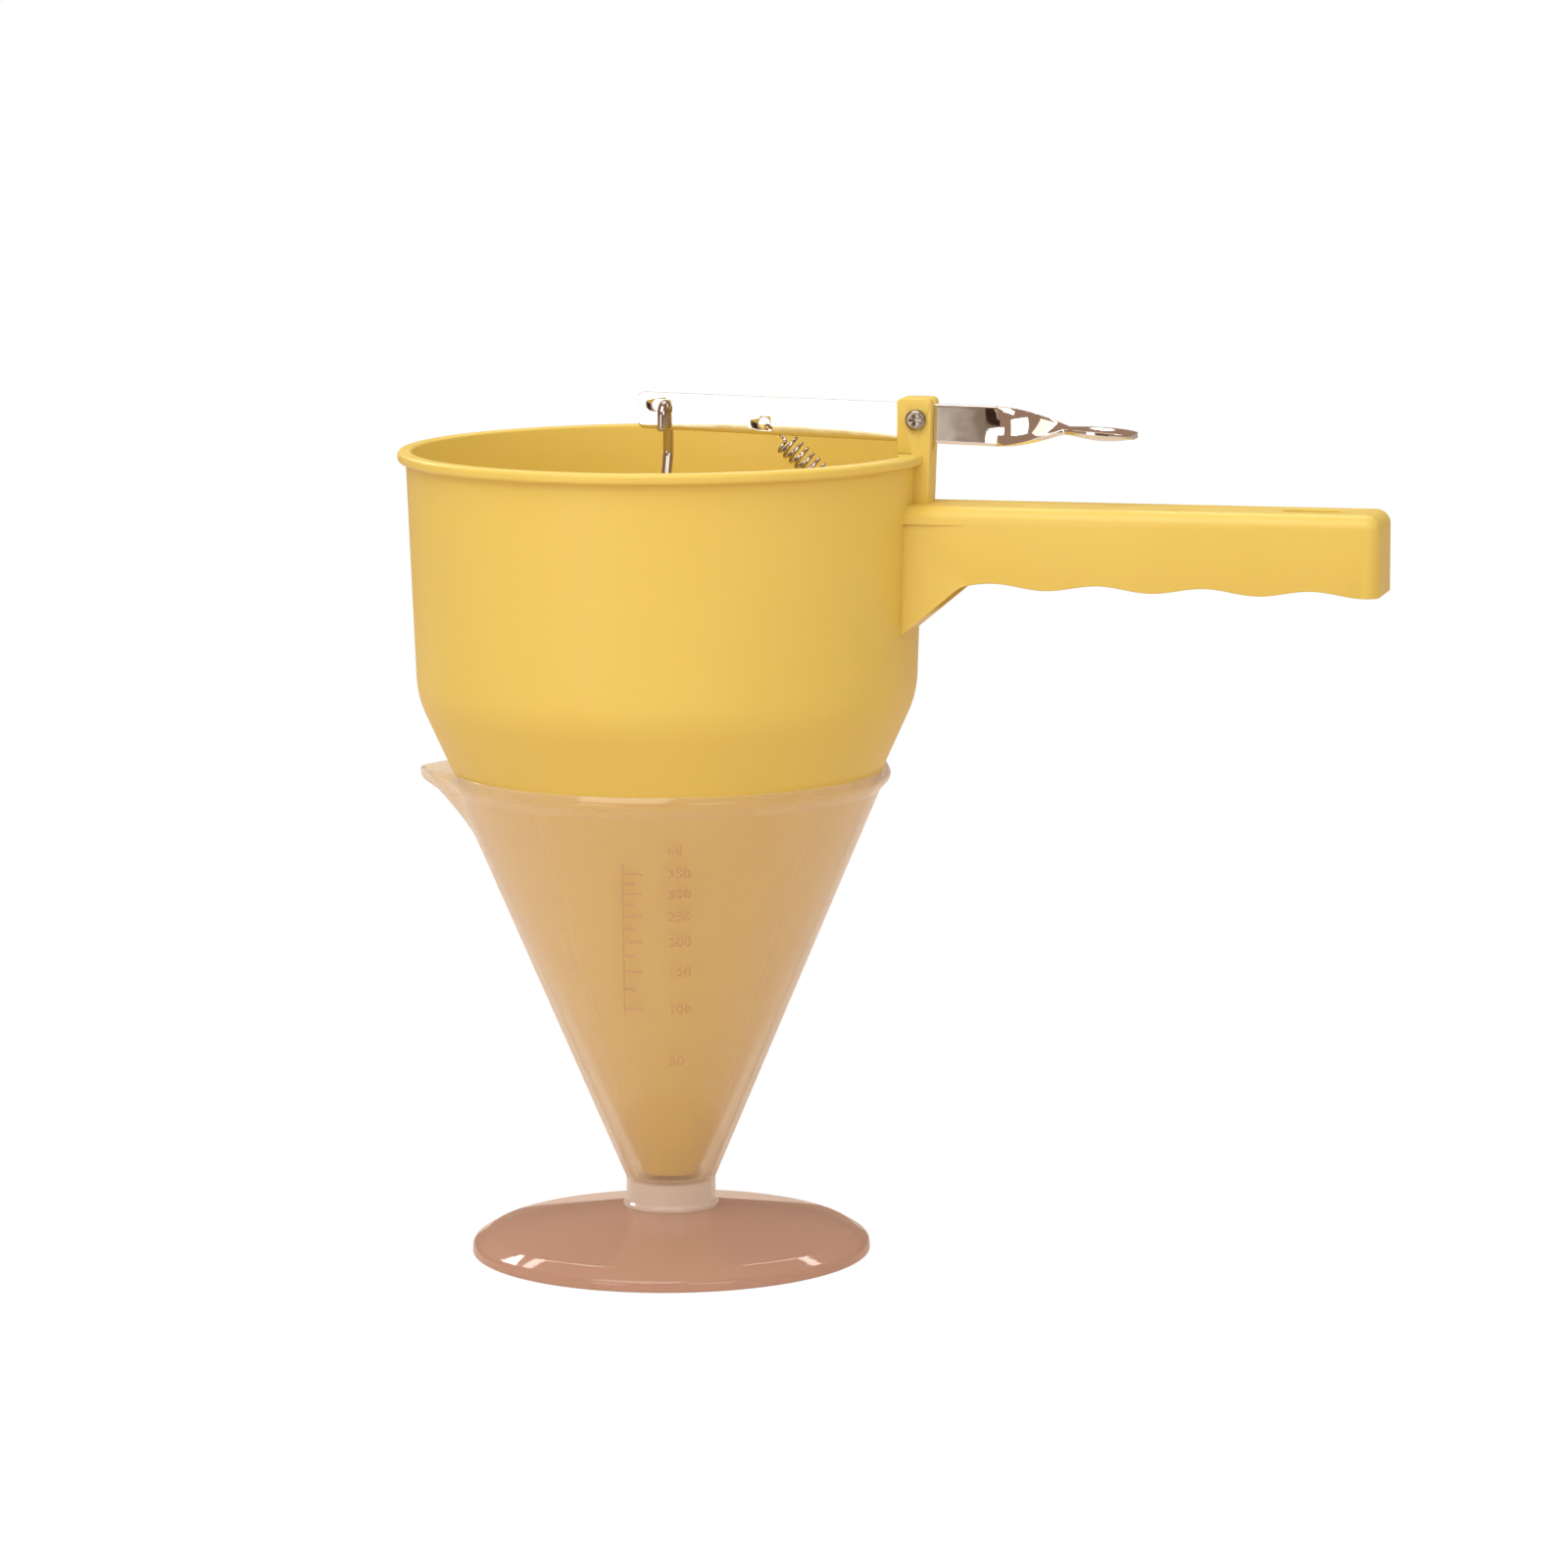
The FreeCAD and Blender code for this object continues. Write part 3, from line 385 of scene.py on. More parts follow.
class Bench:
    """Small modelling jobs that the sub-assemblies share."""

    @staticmethod
    def clear_selection() -> None:
        """Leaves edit mode and selects nothing."""
        if bpy.context.object and bpy.context.object.mode != "OBJECT":
            bpy.ops.object.mode_set(mode="OBJECT")
        bpy.ops.object.select_all(action="DESELECT")

    @staticmethod
    def only(piece: bpy.types.Object) -> None:
        """Selects one piece and makes it active."""
        Bench.clear_selection()
        piece.select_set(True)
        bpy.context.view_layer.objects.active = piece

    @staticmethod
    def new(operator: Callable[..., set[str]], **settings: object) -> bpy.types.Object:
        """Runs one of Blender's add operators and returns its object."""
        Bench.clear_selection()
        operator(**settings)
        return bpy.context.object

    @staticmethod
    @contextmanager
    def editing(piece: bpy.types.Object) -> Iterator[None]:
        """Edit mode on one piece, with everything selected at the start."""
        Bench.only(piece)
        bpy.ops.object.mode_set(mode="EDIT")
        bpy.ops.mesh.select_all(action="SELECT")
        yield
        bpy.ops.object.mode_set(mode="OBJECT")

    @staticmethod
    def settle(piece: bpy.types.Object) -> None:
        """Puts a piece's place into its mesh, so that the object lies at the origin."""
        Bench.only(piece)
        bpy.ops.object.transform_apply(location=True, rotation=True, scale=True)

    @staticmethod
    def loft(name: str, rings: list[list[Vector]], closed: bool = False) -> bpy.types.Object:
        """Skins rings of points, extruding one ring from the one before.

        Args:
            name: The piece's name.
            rings: Rings with the same number of points, in millimetres.
            closed: Whether the last ring joins the first; otherwise both ends are capped.

        Returns:
            The closed shell.
        """
        piece = Bench.new(bpy.ops.mesh.primitive_circle_add, vertices=len(rings[0]), radius=MM)
        piece.name = name
        with Bench.editing(piece):
            mesh = bmesh.from_edit_mesh(piece.data)
            order = {vertex: index for index, vertex in enumerate(mesh.verts)}
            for vertex, index in order.items():
                vertex.co = rings[0][index] * MM
            first_ring = list(order)
            for ring in rings[1:] + (rings[:1] if closed else []):
                bpy.ops.mesh.extrude_edges_move()
                onward: dict[bmesh.types.BMVert, int] = {}
                for vertex, index in order.items():
                    for edge in vertex.link_edges:
                        other = edge.other_vert(vertex)
                        if other.select:
                            onward[other] = index
                            other.co = ring[index] * MM
                order = onward
            if not closed:
                bpy.ops.mesh.edge_face_add()
                bpy.ops.mesh.select_all(action="DESELECT")
                for vertex in first_ring:
                    vertex.select = True
                mesh.select_flush(True)
                bpy.ops.mesh.edge_face_add()
            bpy.ops.mesh.select_all(action="SELECT")
            bpy.ops.mesh.remove_doubles(threshold=MM * 0.001)
            bpy.ops.mesh.normals_make_consistent(inside=False)
        return piece

    @staticmethod
    def turn(
        name: str, outline: list[Pair], segments: int = 192, closed: bool = True
    ) -> bpy.types.Object:
        """Turns an outline about the upright axis.

        Args:
            name: The piece's name.
            outline: (radius, height) pairs in millimetres; none is on the axis.
            segments: Steps round the axis.
            closed: Whether the outline goes right round the wall; otherwise both ends are capped.

        Returns:
            The closed shell.
        """
        turns = [math.tau * step / segments for step in range(segments)]
        rings = [
            [Vector((radius * math.cos(turn), radius * math.sin(turn), height)) for turn in turns]
            for radius, height in outline
        ]
        return Bench.loft(name, rings, closed)

    @staticmethod
    def smooth(piece: bpy.types.Object, degrees: float = 35.0) -> None:
        """Shades a piece smooth, but for edges sharper than an angle."""
        Bench.only(piece)
        bpy.ops.object.shade_smooth_by_angle(angle=math.radians(degrees))

    @staticmethod
    def apply(piece: bpy.types.Object, kind: str, **settings: object) -> None:
        """Adds one modifier with its properties and applies it."""
        Bench.only(piece)
        modifier = piece.modifiers.new(kind.lower(), kind)
        for name, value in settings.items():
            setattr(modifier, name, value)
        bpy.ops.object.modifier_apply(modifier=modifier.name)

    @staticmethod
    def cut(piece: bpy.types.Object, *tools: bpy.types.Object) -> None:
        """Takes closed shapes away from a piece and removes them."""
        for tool in tools:
            Bench.apply(piece, "BOOLEAN", operation="DIFFERENCE", solver="EXACT", object=tool)
            bpy.data.objects.remove(tool)

    @staticmethod
    def soften(piece: bpy.types.Object, width: float, degrees: float = 40.0) -> None:
        """Rounds a piece's edges that are sharper than an angle, by a width in millimetres."""
        Bench.apply(
            piece, "BEVEL", width=width * MM, segments=3, limit_method="ANGLE",
            angle_limit=math.radians(degrees), use_clamp_overlap=False, miter_outer="MITER_ARC",
        )

    @staticmethod
    def close(piece: bpy.types.Object) -> None:
        """Dissolves faces without area, so that every edge has two faces before a cut."""
        with Bench.editing(piece):
            bpy.ops.mesh.dissolve_degenerate(threshold=MM * 0.01)

    @staticmethod
    def bevel_where(
        piece: bpy.types.Object, width: float, chosen: Callable[[Vector, Vector], bool]
    ) -> None:
        """Rounds the edges whose two ends pass a test.

        Args:
            piece: The piece to change.
            width: Radius in millimetres.
            chosen: Takes the two ends in millimetres and says whether the edge is rounded.
        """
        with Bench.editing(piece):
            bpy.ops.mesh.select_mode(type="EDGE")
            bpy.ops.mesh.select_all(action="DESELECT")
            for edge in bmesh.from_edit_mesh(piece.data).edges:
                first, second = (vertex.co / MM for vertex in edge.verts)
                if chosen(first, second):
                    edge.select = True
            bmesh.update_edit_mesh(piece.data)
            bpy.ops.mesh.bevel(offset=width * MM, segments=8, affect="EDGES", clamp_overlap=False)
            bpy.ops.mesh.select_mode(type="VERT")

    @staticmethod
    def prism(name: str, outline: list[Vector], push: Vector) -> bpy.types.Object:
        """Pushes a flat outline along a direction; both are in millimetres."""
        return Bench.loft(name, [outline, [corner + push for corner in outline]])

    @staticmethod
    def plate(name: str, outline: list[Pair], width: float) -> bpy.types.Object:
        """Plate on the upright plane through the grip.

        Args:
            name: The piece's name.
            outline: (x, height) pairs in millimetres.
            width: Its width along Y, half to each side of the plane.

        Returns:
            The plate.
        """
        corners = [Vector((x, -width / 2, z)) for x, z in outline]
        return Bench.prism(name, corners, Vector((0, width, 0)))

    @staticmethod
    def bar_across(radius: float, length: float, x: float, z: float) -> bpy.types.Object:
        """Round bar along Y, centred on the upright plane through the grip."""
        bar = Bench.new(
            bpy.ops.mesh.primitive_cylinder_add, vertices=64, radius=radius * MM,
            depth=length * MM, location=(x * MM, 0, z * MM), rotation=(math.pi / 2, 0, 0),
        )
        Bench.settle(bar)
        return bar

    @staticmethod
    def join(piece: bpy.types.Object, *others: bpy.types.Object) -> None:
        """Adds other pieces to one piece's mesh."""
        Bench.only(piece)
        for other in others:
            other.select_set(True)
        bpy.ops.object.join()

    @staticmethod
    def wire(name: str, points: list[Vector], radius: float, sides: int = 6) -> bpy.types.Object:
        """Round wire along points.

        Args:
            name: The piece's name.
            points: Places along its middle, in millimetres.
            radius: The wire's radius in millimetres.
            sides: Fineness of its section.

        Returns:
            The wire as a mesh with closed ends.
        """
        piece = Bench.new(bpy.ops.curve.primitive_nurbs_path_add, location=(0, 0, 0))
        piece.name = name
        curve = piece.data
        curve.splines.clear()
        spline = curve.splines.new("POLY")
        spline.points.add(len(points) - 1)
        for place, point in zip(spline.points, points):
            place.co = (*(point * MM), 1.0)
        curve.dimensions = "3D"
        curve.twist_mode = "MINIMUM"
        curve.bevel_depth = radius * MM
        curve.bevel_resolution = sides
        curve.use_fill_caps = True
        bpy.ops.object.convert(target="MESH")
        piece = bpy.context.object
        with Bench.editing(piece):
            bpy.ops.mesh.remove_doubles(threshold=1e-7)
            bpy.ops.mesh.normals_make_consistent(inside=False)
        Bench.smooth(piece, 50)
        return piece

    @staticmethod
    def block(name: str, low: Vector, high: Vector, bevel: float) -> bpy.types.Object:
        """A block between two corners with edges softened by a width, all in millimetres."""
        piece = Bench.new(
            bpy.ops.mesh.primitive_cube_add,
            size=1, location=(low + high) / 2 * MM, scale=(high - low) * MM,
        )
        piece.name = name
        Bench.settle(piece)
        if bevel > 0:
            with Bench.editing(piece):
                bpy.ops.mesh.bevel(offset=bevel * MM, segments=3, affect="EDGES")
        Bench.smooth(piece, 40)
        return piece

    @staticmethod
    def dress(
        piece: bpy.types.Object, material: bpy.types.Material, body: Body, slot: Slot, *nodes: str,
        degrees: float = 35.0,
    ) -> None:
        """Gives a piece its shading, finish and body, and hides the CAD nodes that it stands for.
        """
        Bench.smooth(piece, degrees)
        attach(piece, body.value)
        Bench.paint(piece, material, slot, *nodes)

    @staticmethod
    def paint(
        piece: bpy.types.Object, material: bpy.types.Material, slot: Slot, *nodes: str
    ) -> None:
        """Gives a piece its finish and hides the CAD nodes that it stands for."""
        piece.data.materials.clear()
        piece.data.materials.append(material)
        if nodes:
            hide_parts(*nodes)
        LOG.info("%s: %d faces", piece.name, len(piece.data.polygons))


def stadium(length: float, width: float, count: int = 64) -> list[Pair]:
    """Outline about the origin with two half round ends."""
    reach, radius = (length - width) / 2, width / 2
    turns = [math.tau * (step + 0.5) / count for step in range(count)]
    return [
        (math.copysign(reach, math.cos(turn)) + radius * math.cos(turn), radius * math.sin(turn))
        for turn in turns
    ]


def rounded(
    points: list[tuple[float, float, float]], closed: bool = True, steps: int = 8
) -> list[Pair]:
    """Outline with round corners.

    Args:
        points: (first coordinate, second coordinate, corner radius) for each corner.
        closed: Whether the last corner joins the first.
        steps: Points round each corner.

    Returns:
        The outline's points.
    """
    outline: list[Pair] = []
    count = len(points)
    for index, (x, z, radius) in enumerate(points):
        at_end = not closed and index in (0, count - 1)
        if radius <= 0 or at_end:
            outline.append((x, z))
            continue
        here = Vector((x, z))
        before = Vector(points[index - 1][:2]) - here
        after = Vector(points[(index + 1) % count][:2]) - here
        half = before.angle(after) / 2
        reach = min(radius / math.tan(half), before.length * 0.49, after.length * 0.49)
        true_radius = reach * math.tan(half)
        middle = (before.normalized() + after.normalized()).normalized()
        centre = here + middle * (true_radius / math.sin(half))
        start = here + before.normalized() * reach - centre
        end = here + after.normalized() * reach - centre
        first = math.atan2(start.y, start.x)
        sweep = (math.atan2(end.y, end.x) - first + math.pi) % math.tau - math.pi
        for step in range(steps + 1):
            turn = first + sweep * step / steps
            outline.append(
                (centre.x + true_radius * math.cos(turn), centre.y + true_radius * math.sin(turn))
            )
    return outline


def subdivided(outline: list[Pair], longest: float, closed: bool = True) -> list[Pair]:
    """Outline with extra points, so that no step is longer than a limit."""
    dense: list[Pair] = []
    ends = outline[1:] + (outline[:1] if closed else [])
    for (x, z), (next_x, next_z) in zip(outline, ends):
        parts = max(1, math.ceil(math.hypot(next_x - x, next_z - z) / longest))
        for part in range(parts):
            share = part / parts
            dense.append((x + (next_x - x) * share, z + (next_z - z) * share))
    return dense if closed else dense + outline[-1:]


@dataclass(frozen=True)
class Plan:
    """Places and sizes that several sub-assemblies share, in millimetres."""

    nozzle_z: float = 22.719
    nozzle_radius: float = 8.0
    shoulder_z: float = 161.719
    rim_z: float = 231.719
    rim_radius: float = 75.82
    hopper_wall: float = 1.8
    cone_slope: float = 24.4
    bowl_draft: float = 2.1
    pivot_x: float = 74.0
    pivot_z: float = 241.319
    grip_top: float = 217.819
    grip_height: float = 22.8
    screw_radius: float = 1.5
    screw_play: float = 0.05
    lever_thickness: float = 1.5
    rod_slot_z: float = 243.719
    spring_hole: Triple = (29.0, 0.0, 239.119)
    lug_hole: Triple = (66.381, 0.0, 206.119)

    def cone_radius(self, z: float) -> float:
        """Outer radius of the hopper's cone at a height."""
        return self.nozzle_radius + (z - self.nozzle_z) * math.tan(math.radians(self.cone_slope))

    def cone_inner(self, z: float) -> float:
        """Inner radius of the hopper's cone at a height."""
        return self.cone_radius(z) - self.hopper_wall / math.cos(math.radians(self.cone_slope))

    def bowl_radius(self, z: float) -> float:
        """Outer radius of the bowl at a height."""
        rise = z - self.shoulder_z
        return self.cone_radius(self.shoulder_z) + rise * math.tan(math.radians(self.bowl_draft))


@dataclass(frozen=True)
class Hopper:
    """Turned shell of the hopper with the block under the ears and the spring's lug."""

    plan: Plan
    lip: float = 2.0
    shoulder_round: float = 28.0
    rim_depth: float = 3.2
    rim_round: float = 1.3
    block_width: float = 9.5
    block_back: float = 5.6
    block_depth: float = 8.0
    lug_thickness: float = 3.0
    lug_reach: float = 7.5
    lug_rise: float = 6.0
    lug_tip: float = 2.6
    lug_hole_radius: float = 1.3

    def outline(self) -> list[Pair]:
        """Outline of the wall, round once."""
        plan = self.plan
        lip_z = plan.nozzle_z + self.lip
        rim_low = plan.rim_z - self.rim_depth
        inner = plan.cone_radius(plan.shoulder_z) - plan.hopper_wall
        slope = math.tan(math.radians(plan.cone_slope))
        inner_z = plan.shoulder_z + (inner - plan.cone_inner(plan.shoulder_z)) / slope
        corners = [
            (plan.cone_inner(lip_z), plan.nozzle_z, 0.3),
            (plan.nozzle_radius, plan.nozzle_z, 0.4),
            (plan.cone_radius(plan.shoulder_z), plan.shoulder_z, self.shoulder_round),
            (plan.bowl_radius(rim_low), rim_low, 0.5),
            (plan.rim_radius, rim_low, self.rim_round),
            (plan.rim_radius, plan.rim_z, self.rim_round),
            (plan.bowl_radius(plan.rim_z) - plan.hopper_wall, plan.rim_z, 0.8),
            (inner, inner_z, self.shoulder_round),
            (plan.cone_inner(lip_z), lip_z, 0.5),
        ]
        return subdivided(rounded(corners), 12.0)

    def build(self, finishes: Finishes) -> None:
        """Makes the hopper's pieces."""
        shell = Bench.turn("hopper_shell", self.outline(), 256)
        Bench.dress(shell, finishes.yellow, Body.HOPPER, Slot.YELLOW, "hopper", degrees=50)
        self.build_block(finishes)
        self.build_lug(finishes)

    def build_block(self, finishes: Finishes) -> None:
        """Makes the block inside the rim that carries the ears."""
        plan = self.plan
        back = plan.pivot_x - self.block_back
        wall = plan.bowl_radius(plan.rim_z) - plan.hopper_wall / 2
        corners = [
            (back, plan.rim_z), (wall, plan.rim_z),
            (wall, plan.rim_z - self.block_depth), (back, plan.rim_z - self.block_depth / 2),
        ]
        block = Bench.plate("ear_block", corners, self.block_width)
        Bench.soften(block, 0.4)
        Bench.dress(block, finishes.yellow, Body.HOPPER, Slot.YELLOW, "hopper")

    def build_lug(self, finishes: Finishes) -> None:
        """Makes the lug that the spring's lower hook sits in."""
        hole_x, _, z = self.plan.lug_hole
        wall = self.plan.bowl_radius(z) - self.plan.hopper_wall / 2
        inner = self.plan.bowl_radius(z) - self.plan.hopper_wall - self.lug_reach
        outline = rounded([
            (inner, z + self.lug_tip, 1.4),
            (wall, z + self.lug_rise, 0),
            (wall, z - self.lug_rise, 0),
            (inner, z - self.lug_tip, 1.4),
        ])
        lug = Bench.plate("spring_lug", outline, self.lug_thickness)
        Bench.cut(lug, Bench.bar_across(self.lug_hole_radius, self.lug_thickness + 2, hole_x, z))
        Bench.soften(lug, 0.25)
        Bench.dress(lug, finishes.yellow, Body.HOPPER, Slot.YELLOW, "hopper")


@dataclass(frozen=True)
class Handle:
    """Hollow grip with finger grooves, and the ears that carry the lever."""

    plan: Plan
    end: float = 205.6
    width: float = 25.0
    wall: float = 2.3
    top_round: float = 4.1
    top_round_from: float = 80.0
    end_round: float = 3.9
    first_groove: float = 97.3
    groove_pitch: float = 29.9
    groove_depth: float = 1.7
    grooves: int = 4
    gusset_drop: float = 14.5
    gusset_lead: float = 2.3
    gusset_round: float = 8.0
    root_overlap: float = 1.7
    rib: float = 1.6
    rib_setback: float = 6.0
    step_depth: float = 1.0
    step_length: float = 20.0
    step_below_top: float = 5.0
    eye_length: float = 17.0
    eye_width: float = 8.6
    eye_from_end: float = 20.1
    ear_width: float = 9.5
    ear_back: float = 5.6
    ear_front: float = 4.4
    ear_above_pivot: float = 6.0
    ear_round: float = 1.6
    boss_front: float = 3.2
    slot_width: float = 2.1
    slot_above_rim: float = 0.6

    @property
    def bottom(self) -> float:
        """Height of the grip's under side between the grooves."""
        return self.plan.grip_top - self.plan.grip_height

    def outline(self) -> list[Pair]:
        """Side outline of the grip."""
        plan = self.plan
        quarter = self.groove_pitch / 4
        low = self.bottom - self.gusset_drop
        gusset_x = self.first_groove - quarter - self.gusset_lead
        last = self.first_groove + (self.grooves - 0.5) * self.groove_pitch
        corners = [
            (plan.bowl_radius(low) - self.root_overlap, low, 0),
            (plan.bowl_radius(plan.grip_top) - self.root_overlap, plan.grip_top, 0),
            (self.end, plan.grip_top, 0),
            (self.end, self.bottom, 0),
        ]
        steps = 16 * self.grooves - 4
        for step in range(steps + 1):
            x = last - (last - self.first_groove + quarter) * step / steps
            wave = math.cos(math.tau * (x - self.first_groove) / self.groove_pitch)
            corners.append((x, self.bottom + self.groove_depth * (1 + wave) / 2, 0))
        corners.append((gusset_x, self.bottom, self.gusset_round))
        return rounded(corners, True, 10)

    def build(self, finishes: Finishes) -> None:
        """Makes the handle's pieces."""
        self.build_grip(finishes)
        self.build_ears(finishes)

    def build_grip(self, finishes: Finishes) -> None:
        """Makes the grip: block, round edges, channel, ribs and hanging eye."""
        plan = self.plan
        half = self.width / 2
        grip = Bench.plate("grip", self.outline(), self.width)

        def at_end(first: Vector, second: Vector) -> bool:
            """An upright edge at the far end."""
            return min(first.x, second.x) > self.end - NEAR and abs(first.y - second.y) < NEAR

        def on_top(first: Vector, second: Vector) -> bool:
            """An edge round the top face, but for the one at the bowl."""
            high = min(first.z, second.z) > plan.grip_top - NEAR
            return high and max(first.x, second.x) > self.top_round_from

        Bench.bevel_where(grip, self.end_round, at_end)
        Bench.bevel_where(grip, self.top_round, on_top)
        Bench.soften(grip, 0.35, 50)
        Bench.close(grip)
        inside = half - self.wall
        root = plan.pivot_x + self.boss_front
        low = self.bottom - self.gusset_drop - self.wall
        channel = Bench.block(
            "channel", Vector((root, -inside, low)),
            Vector((self.end - self.wall, inside, plan.grip_top - self.wall)), 0.8,
        )
        eye_x = self.end - self.eye_from_end
        eye = Bench.prism(
            "eye",
            [
                Vector((eye_x + x, y, plan.grip_top - 2 * self.wall))
                for x, y in stadium(self.eye_length, self.eye_width)
            ],
            Vector((0, 0, 3 * self.wall)),
        )
        Bench.cut(grip, channel, eye, self.root_wedge(1), self.root_wedge(-1))

        def round_eye(first: Vector, second: Vector) -> bool:
            """An edge of the hanging eye in the top face."""
            return all(
                abs(place.z - plan.grip_top) < NEAR
                and abs(place.x - eye_x) < self.eye_length / 2 + NEAR
                and abs(place.y) < self.eye_width / 2 + NEAR
                for place in (first, second)
            )

        Bench.bevel_where(grip, 0.4, round_eye)
        Bench.join(grip, *self.ribs(inside))
        Bench.dress(grip, finishes.yellow, Body.HOPPER, Slot.YELLOW, "handle", degrees=40)

    def ribs(self, inside: float) -> list[bpy.types.Object]:
        """Makes the ribs across the channel."""
        found = []
        for index in range(self.grooves - 1):
            x = self.first_groove + (index + 0.5) * self.groove_pitch
            low = Vector((x - self.rib / 2, -inside - 0.5, self.bottom + self.rib_setback))
            high = Vector((x + self.rib / 2, inside + 0.5, self.plan.grip_top - self.wall + 0.5))
            found.append(Bench.block("rib", low, high, 0.2))
        return found

    def root_wedge(self, side: int) -> bpy.types.Object:
        """Makes the wedge that sets the grip's side back under its top band near the bowl."""
        half = self.width / 2 * side
        start = self.plan.bowl_radius(self.plan.shoulder_z)
        low = self.bottom - self.gusset_drop - self.wall
        top = self.plan.grip_top - self.step_below_top
        corners = [
            Vector((start, half + side, low)),
            Vector((start + self.step_length, half + side, low)),
            Vector((start + self.step_length, half, low)),
            Vector((start, half - self.step_depth * side, low)),
        ]
        return Bench.prism("wedge", corners, Vector((0, 0, top - low)))

    def build_ears(self, finishes: Finishes) -> None:
        """Makes the boss up the outside of the bowl and the two ears."""
        plan = self.plan
        top = plan.pivot_z + self.ear_above_pivot
        back = plan.pivot_x - self.ear_back
        wall = plan.bowl_radius(plan.rim_z) - plan.hopper_wall / 2
        low = plan.grip_top - self.wall
        outline = rounded([
            (back, plan.rim_z, 0),
            (back, top, self.ear_round),
            (plan.pivot_x + self.ear_front, top, self.ear_round),
            (plan.pivot_x + self.boss_front, low, 0),
            (wall, low, 0),
            (wall, plan.rim_z, 0),
        ])
        ears = Bench.plate("pivot_ears", outline, self.ear_width)
        slot = Bench.block(
            "slot", Vector((back - 1, -self.slot_width / 2, plan.rim_z + self.slot_above_rim)),
            Vector((plan.pivot_x + self.ear_front + 1, self.slot_width / 2, top + 1)), 0,
        )
        hole = Bench.bar_across(
            plan.screw_radius + plan.screw_play, self.ear_width + 2, plan.pivot_x, plan.pivot_z
        )
        Bench.cut(ears, slot, hole)
        Bench.soften(ears, 0.35)
        Bench.dress(ears, finishes.yellow, Body.HOPPER, Slot.YELLOW, "handle")


@dataclass(frozen=True)
class Pivot:
    """Pan head screw with a cross recess, and its nut."""

    plan: Plan
    ear_width: float = 9.5
    head_radius: float = 2.95
    head_height: float = 1.9
    head_round: float = 0.95
    recess_length: float = 3.2
    recess_width: float = 0.7
    recess_depth: float = 1.1
    nut_height: float = 2.4
    nut_flats: float = 5.5
    tail: float = 0.6

    def build(self, finishes: Finishes) -> None:
        """Makes the screw and the nut."""
        self.build_screw(finishes)
        self.build_nut(finishes)

    def place(self, piece: bpy.types.Object, y: float) -> None:
        """Turns an upright piece to lie along +Y at the pivot."""
        piece.rotation_euler = (-math.pi / 2, 0, 0)
        piece.location = Vector((self.plan.pivot_x, y, self.plan.pivot_z)) * MM
        Bench.settle(piece)

    def build_screw(self, finishes: Finishes) -> None:
        """Makes the screw."""
        length = self.ear_width + self.nut_height + self.tail
        corners = [
            (CORE, -self.head_height, 0),
            (self.head_radius, -self.head_height, self.head_round),
            (self.head_radius, 0, 0.15),
            (self.plan.screw_radius, 0, 0.2),
            (self.plan.screw_radius, length, 0.4),
            (CORE, length, 0),
        ]
        screw = Bench.turn("pivot_screw_head", rounded(corners, False), 64, False)
        low = -self.head_height - 1
        for span, width in (
            (self.recess_length, self.recess_width), (self.recess_width, self.recess_length)
        ):
            arm = Bench.block(
                "arm", Vector((-span / 2, -width / 2, low)),
                Vector((span / 2, width / 2, -self.head_height + self.recess_depth)), 0.08,
            )
            Bench.cut(screw, arm)
        self.place(screw, -self.ear_width / 2)
        Bench.soften(screw, 0.08)
        Bench.dress(screw, finishes.screw, Body.HOPPER, Slot.SCREW, "pivot_screw")

    def build_nut(self, finishes: Finishes) -> None:
        """Makes the six sided nut."""
        radius = self.nut_flats / math.sqrt(3)
        corners = [
            Vector((radius * math.cos(turn), radius * math.sin(turn), 0))
            for turn in (math.radians(60 * index) for index in range(6))
        ]
        nut = Bench.prism("hex_nut", corners, Vector((0, 0, self.nut_height)))
        bore_radius = self.plan.screw_radius + self.plan.screw_play
        bore = Bench.turn("bore", [(bore_radius, -1), (bore_radius, 4)], 48, False)
        Bench.cut(nut, bore)
        self.place(nut, self.ear_width / 2)
        Bench.soften(nut, 0.2)
        Bench.dress(nut, finishes.screw, Body.HOPPER, Slot.SCREW, "pivot_nut")


